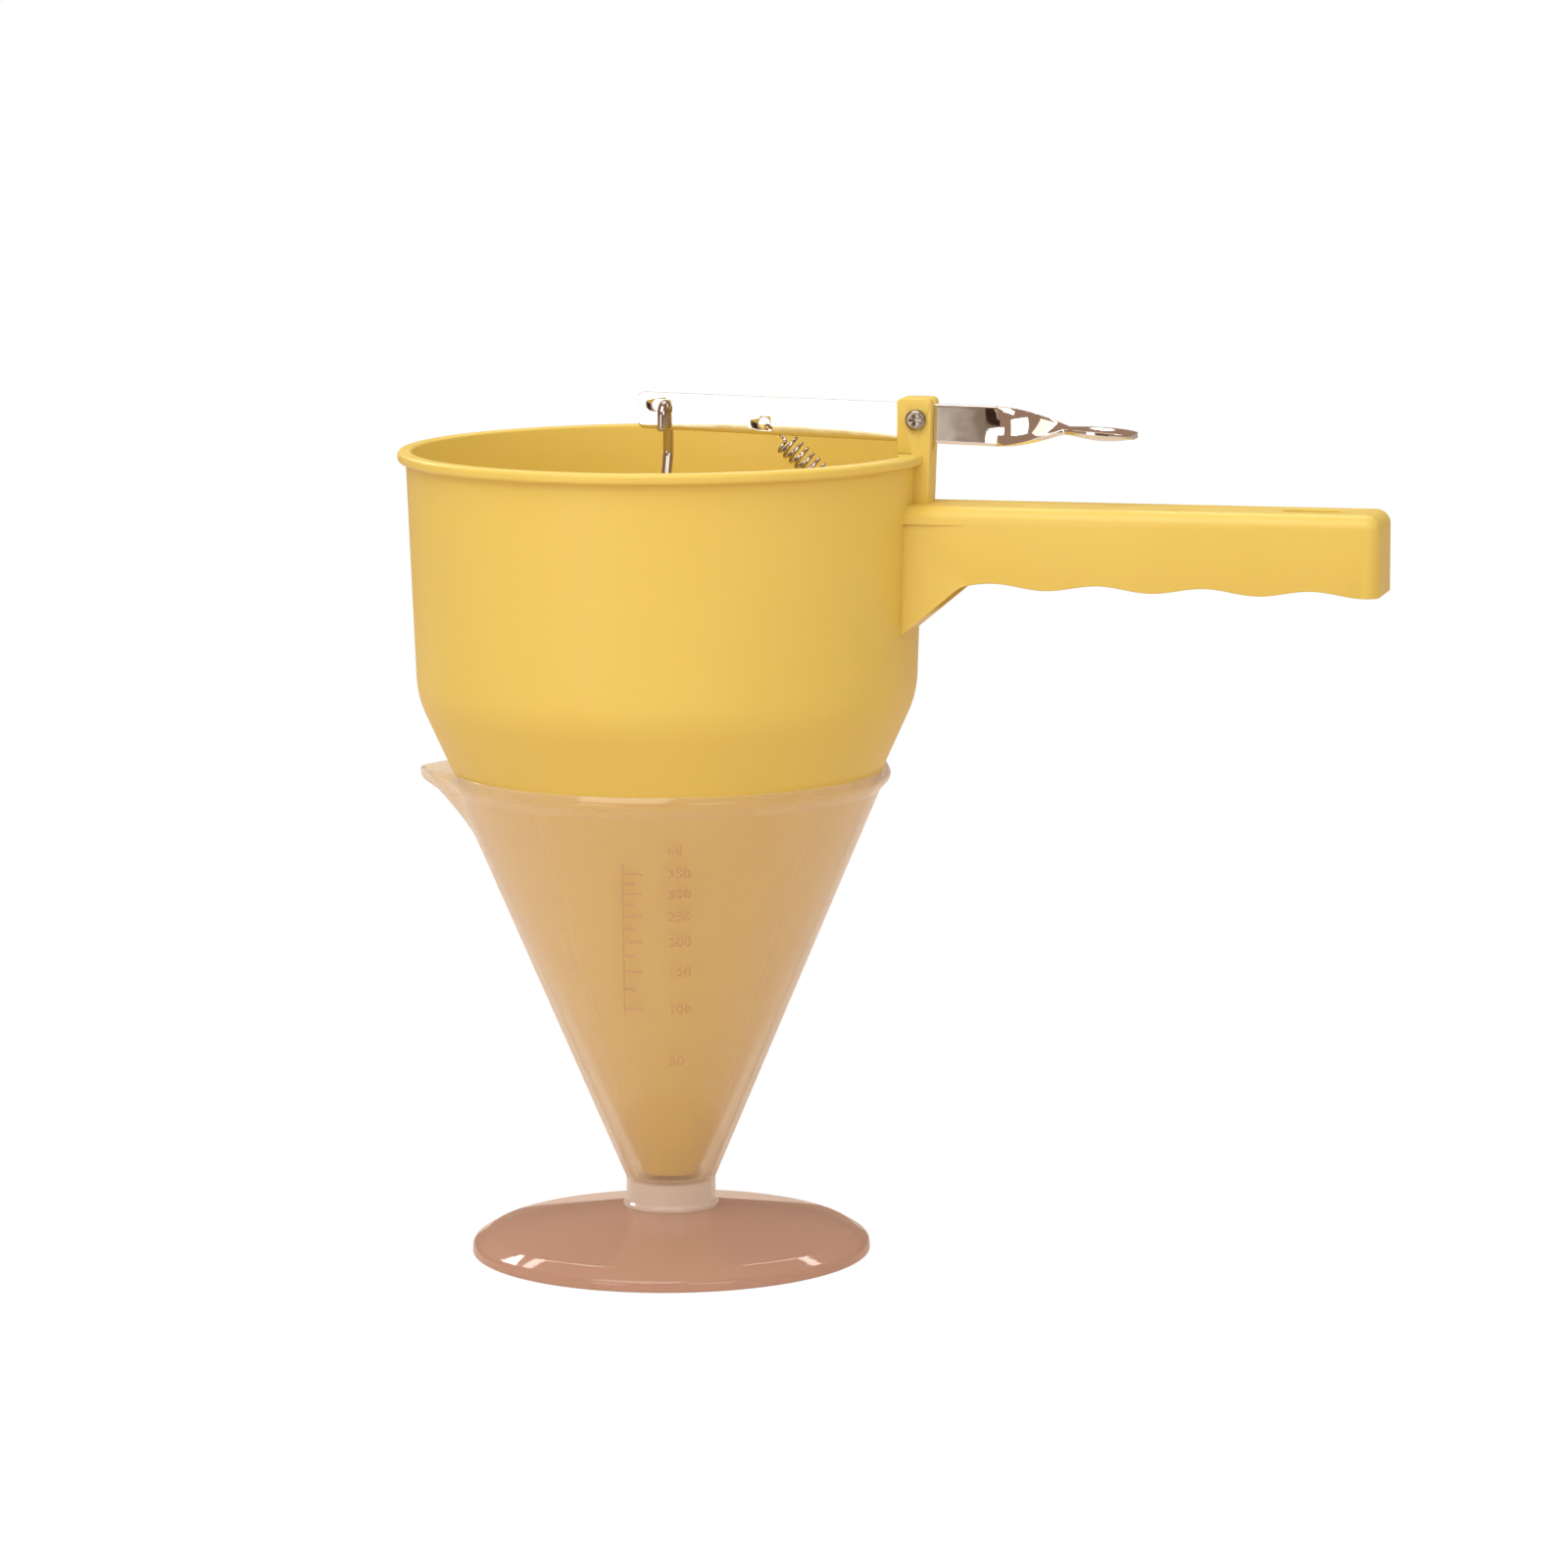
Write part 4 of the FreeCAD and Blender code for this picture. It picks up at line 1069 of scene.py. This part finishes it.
@dataclass(frozen=True)
class Lever:
    """Steel strip on edge that twists into a dished thumb pad."""

    plan: Plan
    front: float = -7.5
    front_top: float = 6.1
    front_bottom: float = -4.1
    rear: float = 96.0
    rear_top: float = 3.8
    rear_bottom: float = -7.4
    corner: float = 1.2
    edge_round: float = 0.28
    slot_length: float = 5.8
    slot_height: float = 3.8
    slot_lead: float = 1.8
    hole_radius: float = 1.9
    twist_length: float = 20.0
    neck_width: float = 9.0
    pad_length: float = 19.5
    pad_width: float = 15.0
    pad_tip: float = 5.0
    pad_dish: float = 1.6
    pad_droop: float = 1.2
    pad_below_pivot: float = 2.6

    def section(self, x: float, z: float, width: float, turn: float, dish: float) -> list[Vector]:
        """Cross section of the strip with round edges.

        Args:
            x: Where along the lever.
            z: Height of its middle.
            width: Width of the strip.
            turn: Turn about the lever's length in degrees; 0 is on edge.
            dish: How far the middle is hollowed.

        Returns:
            The section's ring.
        """
        half, thick = width / 2, self.plan.lever_thickness / 2
        ring = rounded(
            [(-half, -thick, self.edge_round), (half, -thick, self.edge_round),
             (half, thick, self.edge_round), (-half, thick, self.edge_round)], True, 3,
        )
        dense: list[Pair] = []
        for (a, b), (c, d) in zip(ring, ring[1:] + ring[:1]):
            parts = 14 if abs(c - a) > self.edge_round * 2 else 1
            for part in range(parts):
                dense.append((a + (c - a) * part / parts, b + (d - b) * part / parts))
        found = []
        lean = math.radians(turn)
        for along, across in dense:
            sag = dish * (1 - (along / half) ** 2)
            y, up = across + sag, along
            found.append(Vector((
                x,
                y * math.cos(lean) - up * math.sin(lean),
                z + y * math.sin(lean) + up * math.cos(lean),
            )))
        return found

    def sections(self) -> list[list[Vector]]:
        """All sections from the front end to the pad's tip."""
        pivot_z = self.plan.pivot_z
        rings = []
        span = self.rear - self.front
        stations = [self.corner * (1 - math.cos(math.pi / 2 * step / 6)) for step in range(6)]
        stations += [self.corner + (span - self.corner) * step / 30 for step in range(31)]
        for travel in stations:
            share = travel / span
            top = self.front_top + (self.rear_top - self.front_top) * share
            bottom = self.front_bottom + (self.rear_bottom - self.front_bottom) * share
            inset = max(0.0, 1 - travel / self.corner)
            short = self.corner * (1 - math.sqrt(1 - inset * inset))
            middle = pivot_z + (top + bottom) / 2
            rings.append(self.section(self.front + travel, middle, top - bottom - 2 * short, 0, 0))
        start_z = pivot_z + (self.rear_top + self.rear_bottom) / 2
        neck_z = pivot_z - self.pad_below_pivot
        start_width = self.rear_top - self.rear_bottom
        for step in range(1, 61):
            share = step / 60
            width = start_width + share * (self.neck_width - start_width)
            height = start_z + share * (neck_z - start_z)
            x = self.rear + share * self.twist_length
            rings.append(self.section(x, height, width, -90 * share, 0))
        for step in range(1, 49):
            share = 1 - (1 - step / 48) ** 1.5
            swell = math.sin(math.pi / 2 * min(share / 0.5, 1))
            width = self.neck_width + (self.pad_width - self.neck_width) * swell
            away = (share - 0.6) / 0.4
            if away > 0:
                width = self.pad_tip + (self.pad_width - self.pad_tip) * math.sqrt(1 - away * away)
            x = self.rear + self.twist_length + share * self.pad_length
            height = neck_z - self.pad_droop * share * share
            dish = self.pad_dish * math.sin(math.pi * share)
            rings.append(self.section(x, height, width, -90, dish))
        return rings

    def build(self, finishes: Finishes) -> None:
        """Makes the lever."""
        lever = Bench.loft("lever_strip", self.sections())
        middle = self.slot_lead - self.slot_length / 2
        outline = [
            (middle + x, self.plan.rod_slot_z + z)
            for x, z in stadium(self.slot_length, self.slot_height)
        ]
        hole_x, _, hole_z = self.plan.spring_hole
        Bench.cut(
            lever,
            Bench.plate("slot", outline, 6),
            Bench.bar_across(self.hole_radius, 6, hole_x, hole_z),
            Bench.bar_across(
                self.plan.screw_radius + self.plan.screw_play, 6,
                self.plan.pivot_x, self.plan.pivot_z,
            ),
        )
        Bench.soften(lever, 0.1, 50)
        Bench.dress(lever, finishes.lever, Body.LEVER, Slot.LEVER, "lever")


@dataclass(frozen=True)
class ReturnSpring:
    """Tension spring with a hook at each end, from the lug to the lever."""

    plan: Plan
    wire: float = 0.5
    radius: float = 3.0
    half_turns: int = 31
    hook_radius: float = 3.5
    overlap: float = 48.0
    upper_seat: float = 0.946
    lower_seat: float = -0.068

    def half(
        self, tip: Vector, along: Vector, out: Vector, pitch: float
    ) -> tuple[list[Vector], Vector]:
        """Hook and lead-in at one end.

        Args:
            tip: The hook's round end.
            along: Direction from the hook to the coils.
            out: Direction across the coils.
            pitch: Travel in one turn.

        Returns:
            Points from the hook's free end, and the axis point where the coils start.
        """
        across = Vector((0, 1, 0))
        lean = math.atan(pitch / (math.tau * self.radius))
        centre = tip + along * self.hook_radius - across * self.hook_radius * math.sin(lean)
        first, last = -math.radians(self.overlap), math.pi - lean
        points = []
        for step in range(33):
            turn = first + (last - first) * step / 32
            outward = across * math.sin(turn) - along * math.cos(turn)
            points.append(centre + outward * self.hook_radius)
        lead = self.radius / 2
        start = points[-1]
        middle = start + out * lead
        for step in range(1, 13):
            turn = math.pi + math.pi * step / 12
            onward = (out * math.cos(turn) + across * math.sin(turn)) * lead
            points.append(middle + onward + along * pitch / 4 * step / 12)
        return points, start + along * pitch / 4

    def points(self) -> list[Vector]:
        """Points along the wire from hook to hook."""
        hole, lug = Vector(self.plan.spring_hole), Vector(self.plan.lug_hole)
        along = (lug - hole).normalized()
        upper = hole + along * self.upper_seat
        lower = lug - along * self.lower_seat
        pitch = ((lower - upper).length - 4 * self.hook_radius) / (self.half_turns / 2 + 0.5)
        across = Vector((0, 1, 0))
        out = across.cross(along)
        first, top = self.half(upper, along, out, pitch)
        second, bottom = self.half(lower, -along, -out, pitch)
        travel = (bottom - top).dot(along)
        steps = 14 * self.half_turns
        coils = []
        for step in range(1, steps):
            turn = math.pi * self.half_turns * step / steps
            outward = out * math.cos(turn) + across * math.sin(turn)
            coils.append(top + outward * self.radius + along * travel * step / steps)
        return first + coils + second[::-1]

    def build(self, finishes: Finishes) -> None:
        """Makes the spring, from the hopper's lug to the lever."""
        spring = Bench.wire("return_spring_wire", self.points(), self.wire, 4)
        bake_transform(spring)
        Bench.paint(spring, finishes.wire, Slot.SPRING, "return_spring")


@dataclass(frozen=True)
class Valve:
    """Wire rod, stopper and soft seal."""

    plan: Plan
    rod_radius: float = 1.5
    hook_radius: float = 3.0
    leg: float = 4.0
    jog_below_hook: float = 22.0
    jog_length: float = 8.0
    jog_round: float = 6.0
    rod_foot: float = 32.719
    plug_base: float = 27.719
    plug_height: float = 9.0
    plug_gap: float = 0.6
    neck_radius: float = 3.6
    neck_height: float = 5.0
    seal_radius: float = 1.1
    seal_up: float = 5.0
    seal_gap: float = 0.3

    def build(self, finishes: Finishes) -> None:
        """Makes the rod, the stopper and the seal."""
        self.build_rod(finishes)
        self.build_stopper(finishes)

    def build_rod(self, finishes: Finishes) -> None:
        """Makes the rod with its jog and hook."""
        hook = self.hook_radius
        bend_z = self.plan.rod_slot_z - hook
        jog_z = self.plan.rod_slot_z - self.jog_below_hook
        run = rounded(
            [(0, self.rod_foot, 0), (0, jog_z, self.jog_round),
             (hook, jog_z + self.jog_length, self.jog_round), (hook, bend_z, 0)], False, 8,
        )
        run += [
            (hook * math.cos(math.pi * step / 24), bend_z + hook * math.sin(math.pi * step / 24))
            for step in range(1, 25)
        ]
        run.append((-hook, bend_z - self.leg))
        rod = Bench.wire("valve_wire", [Vector((0, y, z)) for y, z in run], self.rod_radius, 8)
        Bench.soften(rod, 0.3, 60)
        Bench.dress(rod, finishes.wire, Body.VALVE, Slot.ROD, "valve_rod", degrees=60)

    def build_stopper(self, finishes: Finishes) -> None:
        """Makes the stopper and the ring in its groove."""
        plan = self.plan
        cos = math.cos(math.radians(plan.cone_slope))
        gap = self.plug_gap / cos
        top = self.plug_base + self.plug_height
        corners = [
            (CORE, self.plug_base, 0),
            (plan.cone_inner(self.plug_base) - gap, self.plug_base, 0.5),
            (plan.cone_inner(top) - gap, top, 1.5),
            (self.neck_radius, top, 0.3),
            (self.neck_radius, top + self.neck_height, 0.5),
            (CORE, top + self.neck_height, 0),
        ]
        stopper = Bench.turn("stopper", rounded(corners, False), 96, False)
        Bench.dress(stopper, finishes.plug, Body.VALVE, Slot.PLUG, "valve_plug")
        seal_z = self.plug_base + self.seal_up
        centre = plan.cone_inner(seal_z) - (self.seal_radius + self.seal_gap) / cos
        seal = Bench.new(
            bpy.ops.mesh.primitive_torus_add, major_radius=centre * MM,
            minor_radius=self.seal_radius * MM, major_segments=96, minor_segments=20,
            location=(0, 0, seal_z * MM),
        )
        seal.name = "seal_ring"
        Bench.settle(seal)
        Bench.dress(seal, finishes.seal, Body.VALVE, Slot.SEAL, "plug_seal", degrees=60)


@dataclass(frozen=True)
class MeasuringCup:
    """Thin cone with a rolled rim, a pouring lip, a hollow neck and a raised scale."""

    base: float = 12.9
    neck_radius: float = 12.8
    neck_length: float = 8.4
    collar_radius: float = 13.7
    collar_height: float = 1.8
    wall: float = 1.4
    slope: float = 22.95
    height: float = 128.0
    bead_depth: float = 6.4
    bead_bulge: float = 2.69
    bead_proud: float = 1.7
    mouth_radius: float = 61.712
    spout_turn: float = 195.5
    spout_reach: float = 7.8
    spout_half_angle: float = 15.5
    spout_depth: float = 21.0

    @property
    def floor(self) -> float:
        """Height of the cup's floor."""
        return self.base + self.neck_length

    @property
    def top(self) -> float:
        """Height of the cup's rim."""
        return self.base + self.height

    def radius(self, z: float) -> float:
        """Outer radius of the cone at a height."""
        return self.neck_radius + (z - self.floor) * math.tan(math.radians(self.slope))

    def outline(self) -> list[Pair]:
        """Outline of the wall from the floor's middle to its under side."""
        bead_z = self.top - self.bead_depth
        bulge_z = self.top - self.bead_bulge
        inner_floor = self.radius(self.floor) - self.wall / math.cos(math.radians(self.slope))
        neck_inner = self.neck_radius - self.wall
        corners = [
            (MOULD_CORE, self.floor, 0),
            (inner_floor, self.floor, 1.0),
            (self.mouth_radius, self.top - 0.5, 0.3),
            (self.mouth_radius + 0.5, self.top, 0.3),
            (self.radius(self.top) - 0.84, self.top, 0.5),
            (self.radius(bulge_z) + self.bead_proud, bulge_z, 3.2),
            (self.radius(bead_z), bead_z, 1.2),
            (self.neck_radius, self.floor, 3.0),
            (self.neck_radius, self.base + self.collar_height + 0.1, 0.5),
            (self.collar_radius, self.base + self.collar_height - 0.6, 0.5),
            (self.collar_radius, self.base, 0.4),
            (neck_inner, self.base, 0.2),
            (neck_inner, self.floor - self.wall, 0.4),
            (MOULD_CORE, self.floor - self.wall, 0),
        ]
        return subdivided(rounded(corners, False), 1.5, False)

    def build(self, finishes: Finishes) -> None:
        """Makes the cup with its pouring lip."""
        cup = Bench.turn("cup_shell", self.outline(), 360, False)
        self.pull_spout(cup)
        Bench.dress(cup, finishes.cup, Body.STAND, Slot.CUP, "measuring_cup", degrees=50)

    def pull_spout(self, cup: bpy.types.Object) -> None:
        """Pulls the wall under the rim outwards into the pouring lip."""
        middle = math.radians(self.spout_turn)
        for vertex in cup.data.vertices:
            place = vertex.co / MM
            rise = (place.z - self.top + self.spout_depth) / self.spout_depth
            if rise <= 0:
                continue
            aside = (math.atan2(place.y, place.x) - middle + math.pi) % math.tau - math.pi
            spread = math.radians(self.spout_half_angle) * (0.35 + 0.65 * min(rise, 1.0))
            if abs(aside) >= spread:
                continue
            swell = math.cos(math.pi / 2 * aside / spread) ** 1.5
            push = self.spout_reach * rise ** 1.4 * swell
            vertex.co += Vector((math.cos(middle), math.sin(middle), 0)) * push * MM


@dataclass(frozen=True)
class CupScale:
    """Raised measuring scale on the cup's front: a line, ticks and plain numbers."""

    cup: MeasuringCup
    facing: float = 285.5
    line_at: float = -13.0
    line_low: float = 74.7
    line_high: float = 121.0
    line_width: float = 0.5
    tick_short: float = 3.6
    tick_long: float = 5.6
    tick_width: float = 0.45
    number_at: float = -0.4
    number_size: float = 4.4
    proud: float = 0.22
    sunk: float = 0.15
    step: int = 25
    lowest: int = 25
    highest: int = 350

    def height(self, volume: float) -> float:
        """Height at which the cup holds a volume in millilitres."""
        slope = math.tan(math.radians(self.cup.slope))
        inset = self.cup.wall / math.cos(math.radians(self.cup.slope))
        apex = self.cup.floor - (self.cup.neck_radius - inset) / slope
        below = (self.cup.floor - apex) ** 3
        return apex + (volume * 1000 / (math.pi / 3 * slope * slope) + below) ** (1 / 3)

    def wrap(self, piece: bpy.types.Object, aside: float, z: float) -> bpy.types.Object:
        """Lays a flat piece onto the cone.

        Args:
            piece: Drawn flat, with x along the round, y upwards and z outwards.
            aside: Distance along the round from the generator that faces the camera.
            z: Height of the piece's origin.

        Returns:
            The same piece.
        """
        lean = math.radians(self.cup.slope)
        for vertex in piece.data.vertices:
            place = vertex.co / MM
            height = z + place.y * math.cos(lean) - place.z * math.sin(lean)
            radius = self.cup.radius(z + place.y * math.cos(lean)) + place.z * math.cos(lean)
            turn = math.radians(self.facing) + (aside + place.x) / radius
            vertex.co = Vector((radius * math.cos(turn), radius * math.sin(turn), height)) * MM
        return piece

    def bar(self, low_x: float, high_x: float, low_y: float, high_y: float) -> bpy.types.Object:
        """Flat bar, cut into short lengths so that it can bend."""
        outline = subdivided(
            [(low_x, low_y), (high_x, low_y), (high_x, high_y), (low_x, high_y)], 1.0
        )
        return Bench.prism(
            "bar", [Vector((x, y, -self.sunk)) for x, y in outline],
            Vector((0, 0, self.sunk + self.proud)),
        )

    def number(self, text: str) -> bpy.types.Object:
        """Raised number."""
        piece = Bench.new(bpy.ops.object.text_add, location=(0, 0, 0))
        piece.data.body = text
        piece.data.size = self.number_size * MM
        piece.data.extrude = self.proud * MM
        piece.data.align_y = "CENTER"
        piece.data.resolution_u = 3
        bpy.ops.object.convert(target="MESH")
        return bpy.context.object

    def build(self, finishes: Finishes) -> None:
        """Makes the scale."""
        cos = math.cos(math.radians(self.cup.slope))
        half = self.line_width / 2
        length = (self.line_high - self.line_low) / cos
        line = self.wrap(self.bar(-half, half, 0, length), self.line_at, self.line_low)
        line.name = "cup_scale"
        marks = []
        for volume in range(self.lowest, self.highest + 1, self.step):
            z = self.height(volume)
            numbered = volume % (2 * self.step) == 0
            reach = self.tick_long if numbered else self.tick_short
            if z > self.line_low:
                bar = self.bar(0, reach, -self.tick_width / 2, self.tick_width / 2)
                marks.append(self.wrap(bar, self.line_at, z))
            if numbered:
                marks.append(self.wrap(self.number(str(volume)), self.number_at, z))
        marks.append(self.wrap(self.number("ml"), self.number_at, self.line_high + 4.0))
        Bench.join(line, *marks)
        Bench.dress(line, finishes.marks, Body.STAND, Slot.CUP)


@dataclass(frozen=True)
class Foot:
    """Thin domed disc with a turned down edge and a hollow spigot."""

    radius: float = 57.3
    edge_height: float = 1.2
    crest_radius: float = 52.0
    crest_height: float = 5.8
    hub_radius: float = 14.0
    hub_height: float = 12.9
    wall: float = 1.5
    spigot_radius: float = 11.35
    spigot_height: float = 6.0

    def outline(self) -> list[Pair]:
        """Outline of the wall from the spigot's middle to its under side."""
        top = self.hub_height + self.spigot_height
        inner = self.spigot_radius - self.wall
        corners = [
            (MOULD_CORE, top, 0),
            (self.spigot_radius, top, 0.5),
            (self.spigot_radius, self.hub_height, 0.3),
            (self.hub_radius, self.hub_height, 0.6),
            (self.crest_radius + 0.4, self.crest_height, 3.5),
            (self.radius - 0.15, self.edge_height + 1.7, 2.0),
            (self.radius, 0, 0.4),
            (self.radius - self.wall, 0, 0.3),
            (self.radius - self.wall - 0.3, self.edge_height + 0.6, 1.5),
            (self.crest_radius - 0.3, self.crest_height - self.wall, 2.5),
            (inner, self.hub_height - self.wall, 1.0),
            (inner, top - self.wall, 0.5),
            (MOULD_CORE, top - self.wall, 0),
        ]
        return subdivided(rounded(corners, False), 6.0, False)

    def build(self, finishes: Finishes) -> None:
        """Makes the foot."""
        foot = Bench.turn("foot_disc", self.outline(), 256, False)
        Bench.dress(foot, finishes.foot, Body.STAND, Slot.FOOT, "cup_foot", degrees=50)


@dataclass(frozen=True)
class Studio:
    """Pale floor, soft lights and the camera of the photo."""

    camera_place: Triple = (0.4665, -1.6821, 0.4001)
    turn: float = 15.5
    yaw: float = 1.086
    pitch: float = 8.631
    roll: float = -0.272
    lens: float = 141.96
    white: Colour = (1, 1, 1)
    fill: Colour = (1.0, 0.95, 0.90)
    fill_strength: float = 0.69
    mirrored: Colour = (0.34, 0.21, 0.145)
    ground: Colour = (0.66, 0.54, 0.46)

    def build(self) -> None:
        """Sets up everything round the object."""
        self.build_world()
        self.build_floor()
        self.build_lights()
        self.build_camera()

    def build_world(self) -> None:
        """White to the camera, warm brown in reflections, soft warm light for the rest."""
        world = bpy.data.worlds.new("studio")
        bpy.context.scene.world = world
        world.use_nodes = True
        sheet = NodeSheet(world.node_tree)
        path = sheet.add("LightPath").outputs
        around = sheet.mix(
            sheet.glow("Background", self.fill, self.fill_strength),
            sheet.glow("Background", self.mirrored),
            path["Is Glossy Ray"],
        )
        seen = sheet.glow("Background", self.white)
        sheet.add("OutputWorld", {"Surface": sheet.mix(around, seen, path["Is Camera Ray"])})

    def build_floor(self) -> None:
        """A wide floor, white to the camera."""
        floor = Bench.new(bpy.ops.mesh.primitive_plane_add, size=12, location=(0, 0, -0.0002))
        floor.name = "floor"
        material, sheet = NodeSheet.material("pale_floor")
        seen = sheet.add("LightPath").outputs["Is Camera Ray"]
        surface = sheet.mix(sheet.matt(self.ground), sheet.glow("Emission", self.white), seen)
        sheet.add("OutputMaterial", {"Surface": surface})
        floor.data.materials.append(material)

    def build_lights(self) -> None:
        """Soft lights in front, above and behind, and two cards that the steel mirrors."""
        middle, warm = (0, 0, 0.15), (1.0, 0.96, 0.9)
        self.area(
            "key", (-0.635, -1.6, 0.34), (-0.635, 0, 0.34), (0.66, 0.66), 2.75, (1.0, 0.98, 0.95)
        )
        self.area("front", (1.3, -1.6, 1.1), middle, (1.0, 1.0), 6.2, (1.0, 0.97, 0.93))
        self.area("top", (-0.2, -0.9, 1.5), middle, (1.2, 1.2), 13.5, (1.0, 0.97, 0.94))
        self.area("behind", (-0.13, 0.47, 1.18), (0, 0, 0.1), (0.75, 0.75), 1.8, warm)
        self.area("window", (-0.83, 0.53, 0.69), (0, 0, 0.02), (0.24, 0.16), 1.4, (1.0, 0.97, 0.93))
        self.area("strip", (-0.21, 0.77, 1.02), (0, 0, 0), (1.7, 0.10), 3.4, warm)
        self.card("grey_card", -0.29, -0.215, (0.22, 0.17, 0.13))
        self.card("dark_card", -0.215, 0.22, (0.045, 0.022, 0.016))

    @staticmethod
    def card(name: str, low_x: float, high_x: float, colour: Colour) -> None:
        """Makes an upright card beside the key light that shows in reflections only.

        Args:
            name: The card's name.
            low_x: Its left edge, in metres.
            high_x: Its right edge.
            colour: Linear colour.
        """
        card = Bench.new(
            bpy.ops.mesh.primitive_plane_add, size=1,
            location=((low_x + high_x) / 2, -1.62, 0.15), rotation=(math.pi / 2, 0, 0),
        )
        card.name = name
        card.scale = (high_x - low_x, 0.4, 1)
        Bench.settle(card)
        material, sheet = NodeSheet.material(name)
        sheet.add("OutputMaterial", {"Surface": sheet.matt(colour)})
        card.data.materials.append(material)
        card.visible_camera = False

    @staticmethod
    def area(
        name: str, place: Triple, target: Triple, size: Pair, power: float, colour: Colour
    ) -> None:
        """Makes one area light.

        Args:
            name: The light's name.
            place: Where it is, in metres.
            target: What it faces.
            size: Its width and height.
            power: Watts.
            colour: Linear colour.
        """
        lamp = Bench.new(bpy.ops.object.light_add, type="AREA", location=place)
        lamp.name = name
        lamp.data.shape = "RECTANGLE"
        lamp.data.size, lamp.data.size_y = size
        lamp.data.energy = power
        lamp.data.color = colour
        lamp.rotation_mode = "QUATERNION"
        lamp.rotation_quaternion = (Vector(target) - Vector(place)).to_track_quat("-Z", "Y")

    def build_camera(self) -> None:
        """The camera fitted to the photo."""

        def turned(first: Vector, second: Vector, degrees: float) -> tuple[Vector, Vector]:
            """Turns two square axes towards each other's place."""
            cos, sin = math.cos(math.radians(degrees)), math.sin(math.radians(degrees))
            return first * cos + second * sin, second * cos - first * sin

        right, forward = turned(Vector((1, 0, 0)), Vector((0, 1, 0)), self.turn)
        forward, right = turned(forward, right, self.yaw)
        up, forward = turned(Vector((0, 0, 1)), forward, self.pitch)
        right, up = turned(right, up, self.roll)
        camera = Bench.new(bpy.ops.object.camera_add, location=self.camera_place)
        columns = Matrix((right, up, -forward)).transposed()
        camera.rotation_mode = "QUATERNION"
        camera.rotation_quaternion = columns.to_quaternion()
        camera.data.lens = self.lens
        camera.data.sensor_width = 36
        bpy.context.scene.camera = camera


def main() -> None:
    """Builds the dispenser and its surroundings."""
    logging.basicConfig(level=logging.INFO, format="%(message)s")
    finishes = Finishes.make()
    plan = Plan()
    for part in (
        Hopper(plan), Handle(plan), Pivot(plan), Lever(plan), ReturnSpring(plan), Valve(plan),
        MeasuringCup(), CupScale(MeasuringCup()), Foot(),
    ):
        part.build(finishes)
    Studio().build()
    bpy.context.scene.view_settings.view_transform = "Standard"


if __name__ == "__main__":
    main()
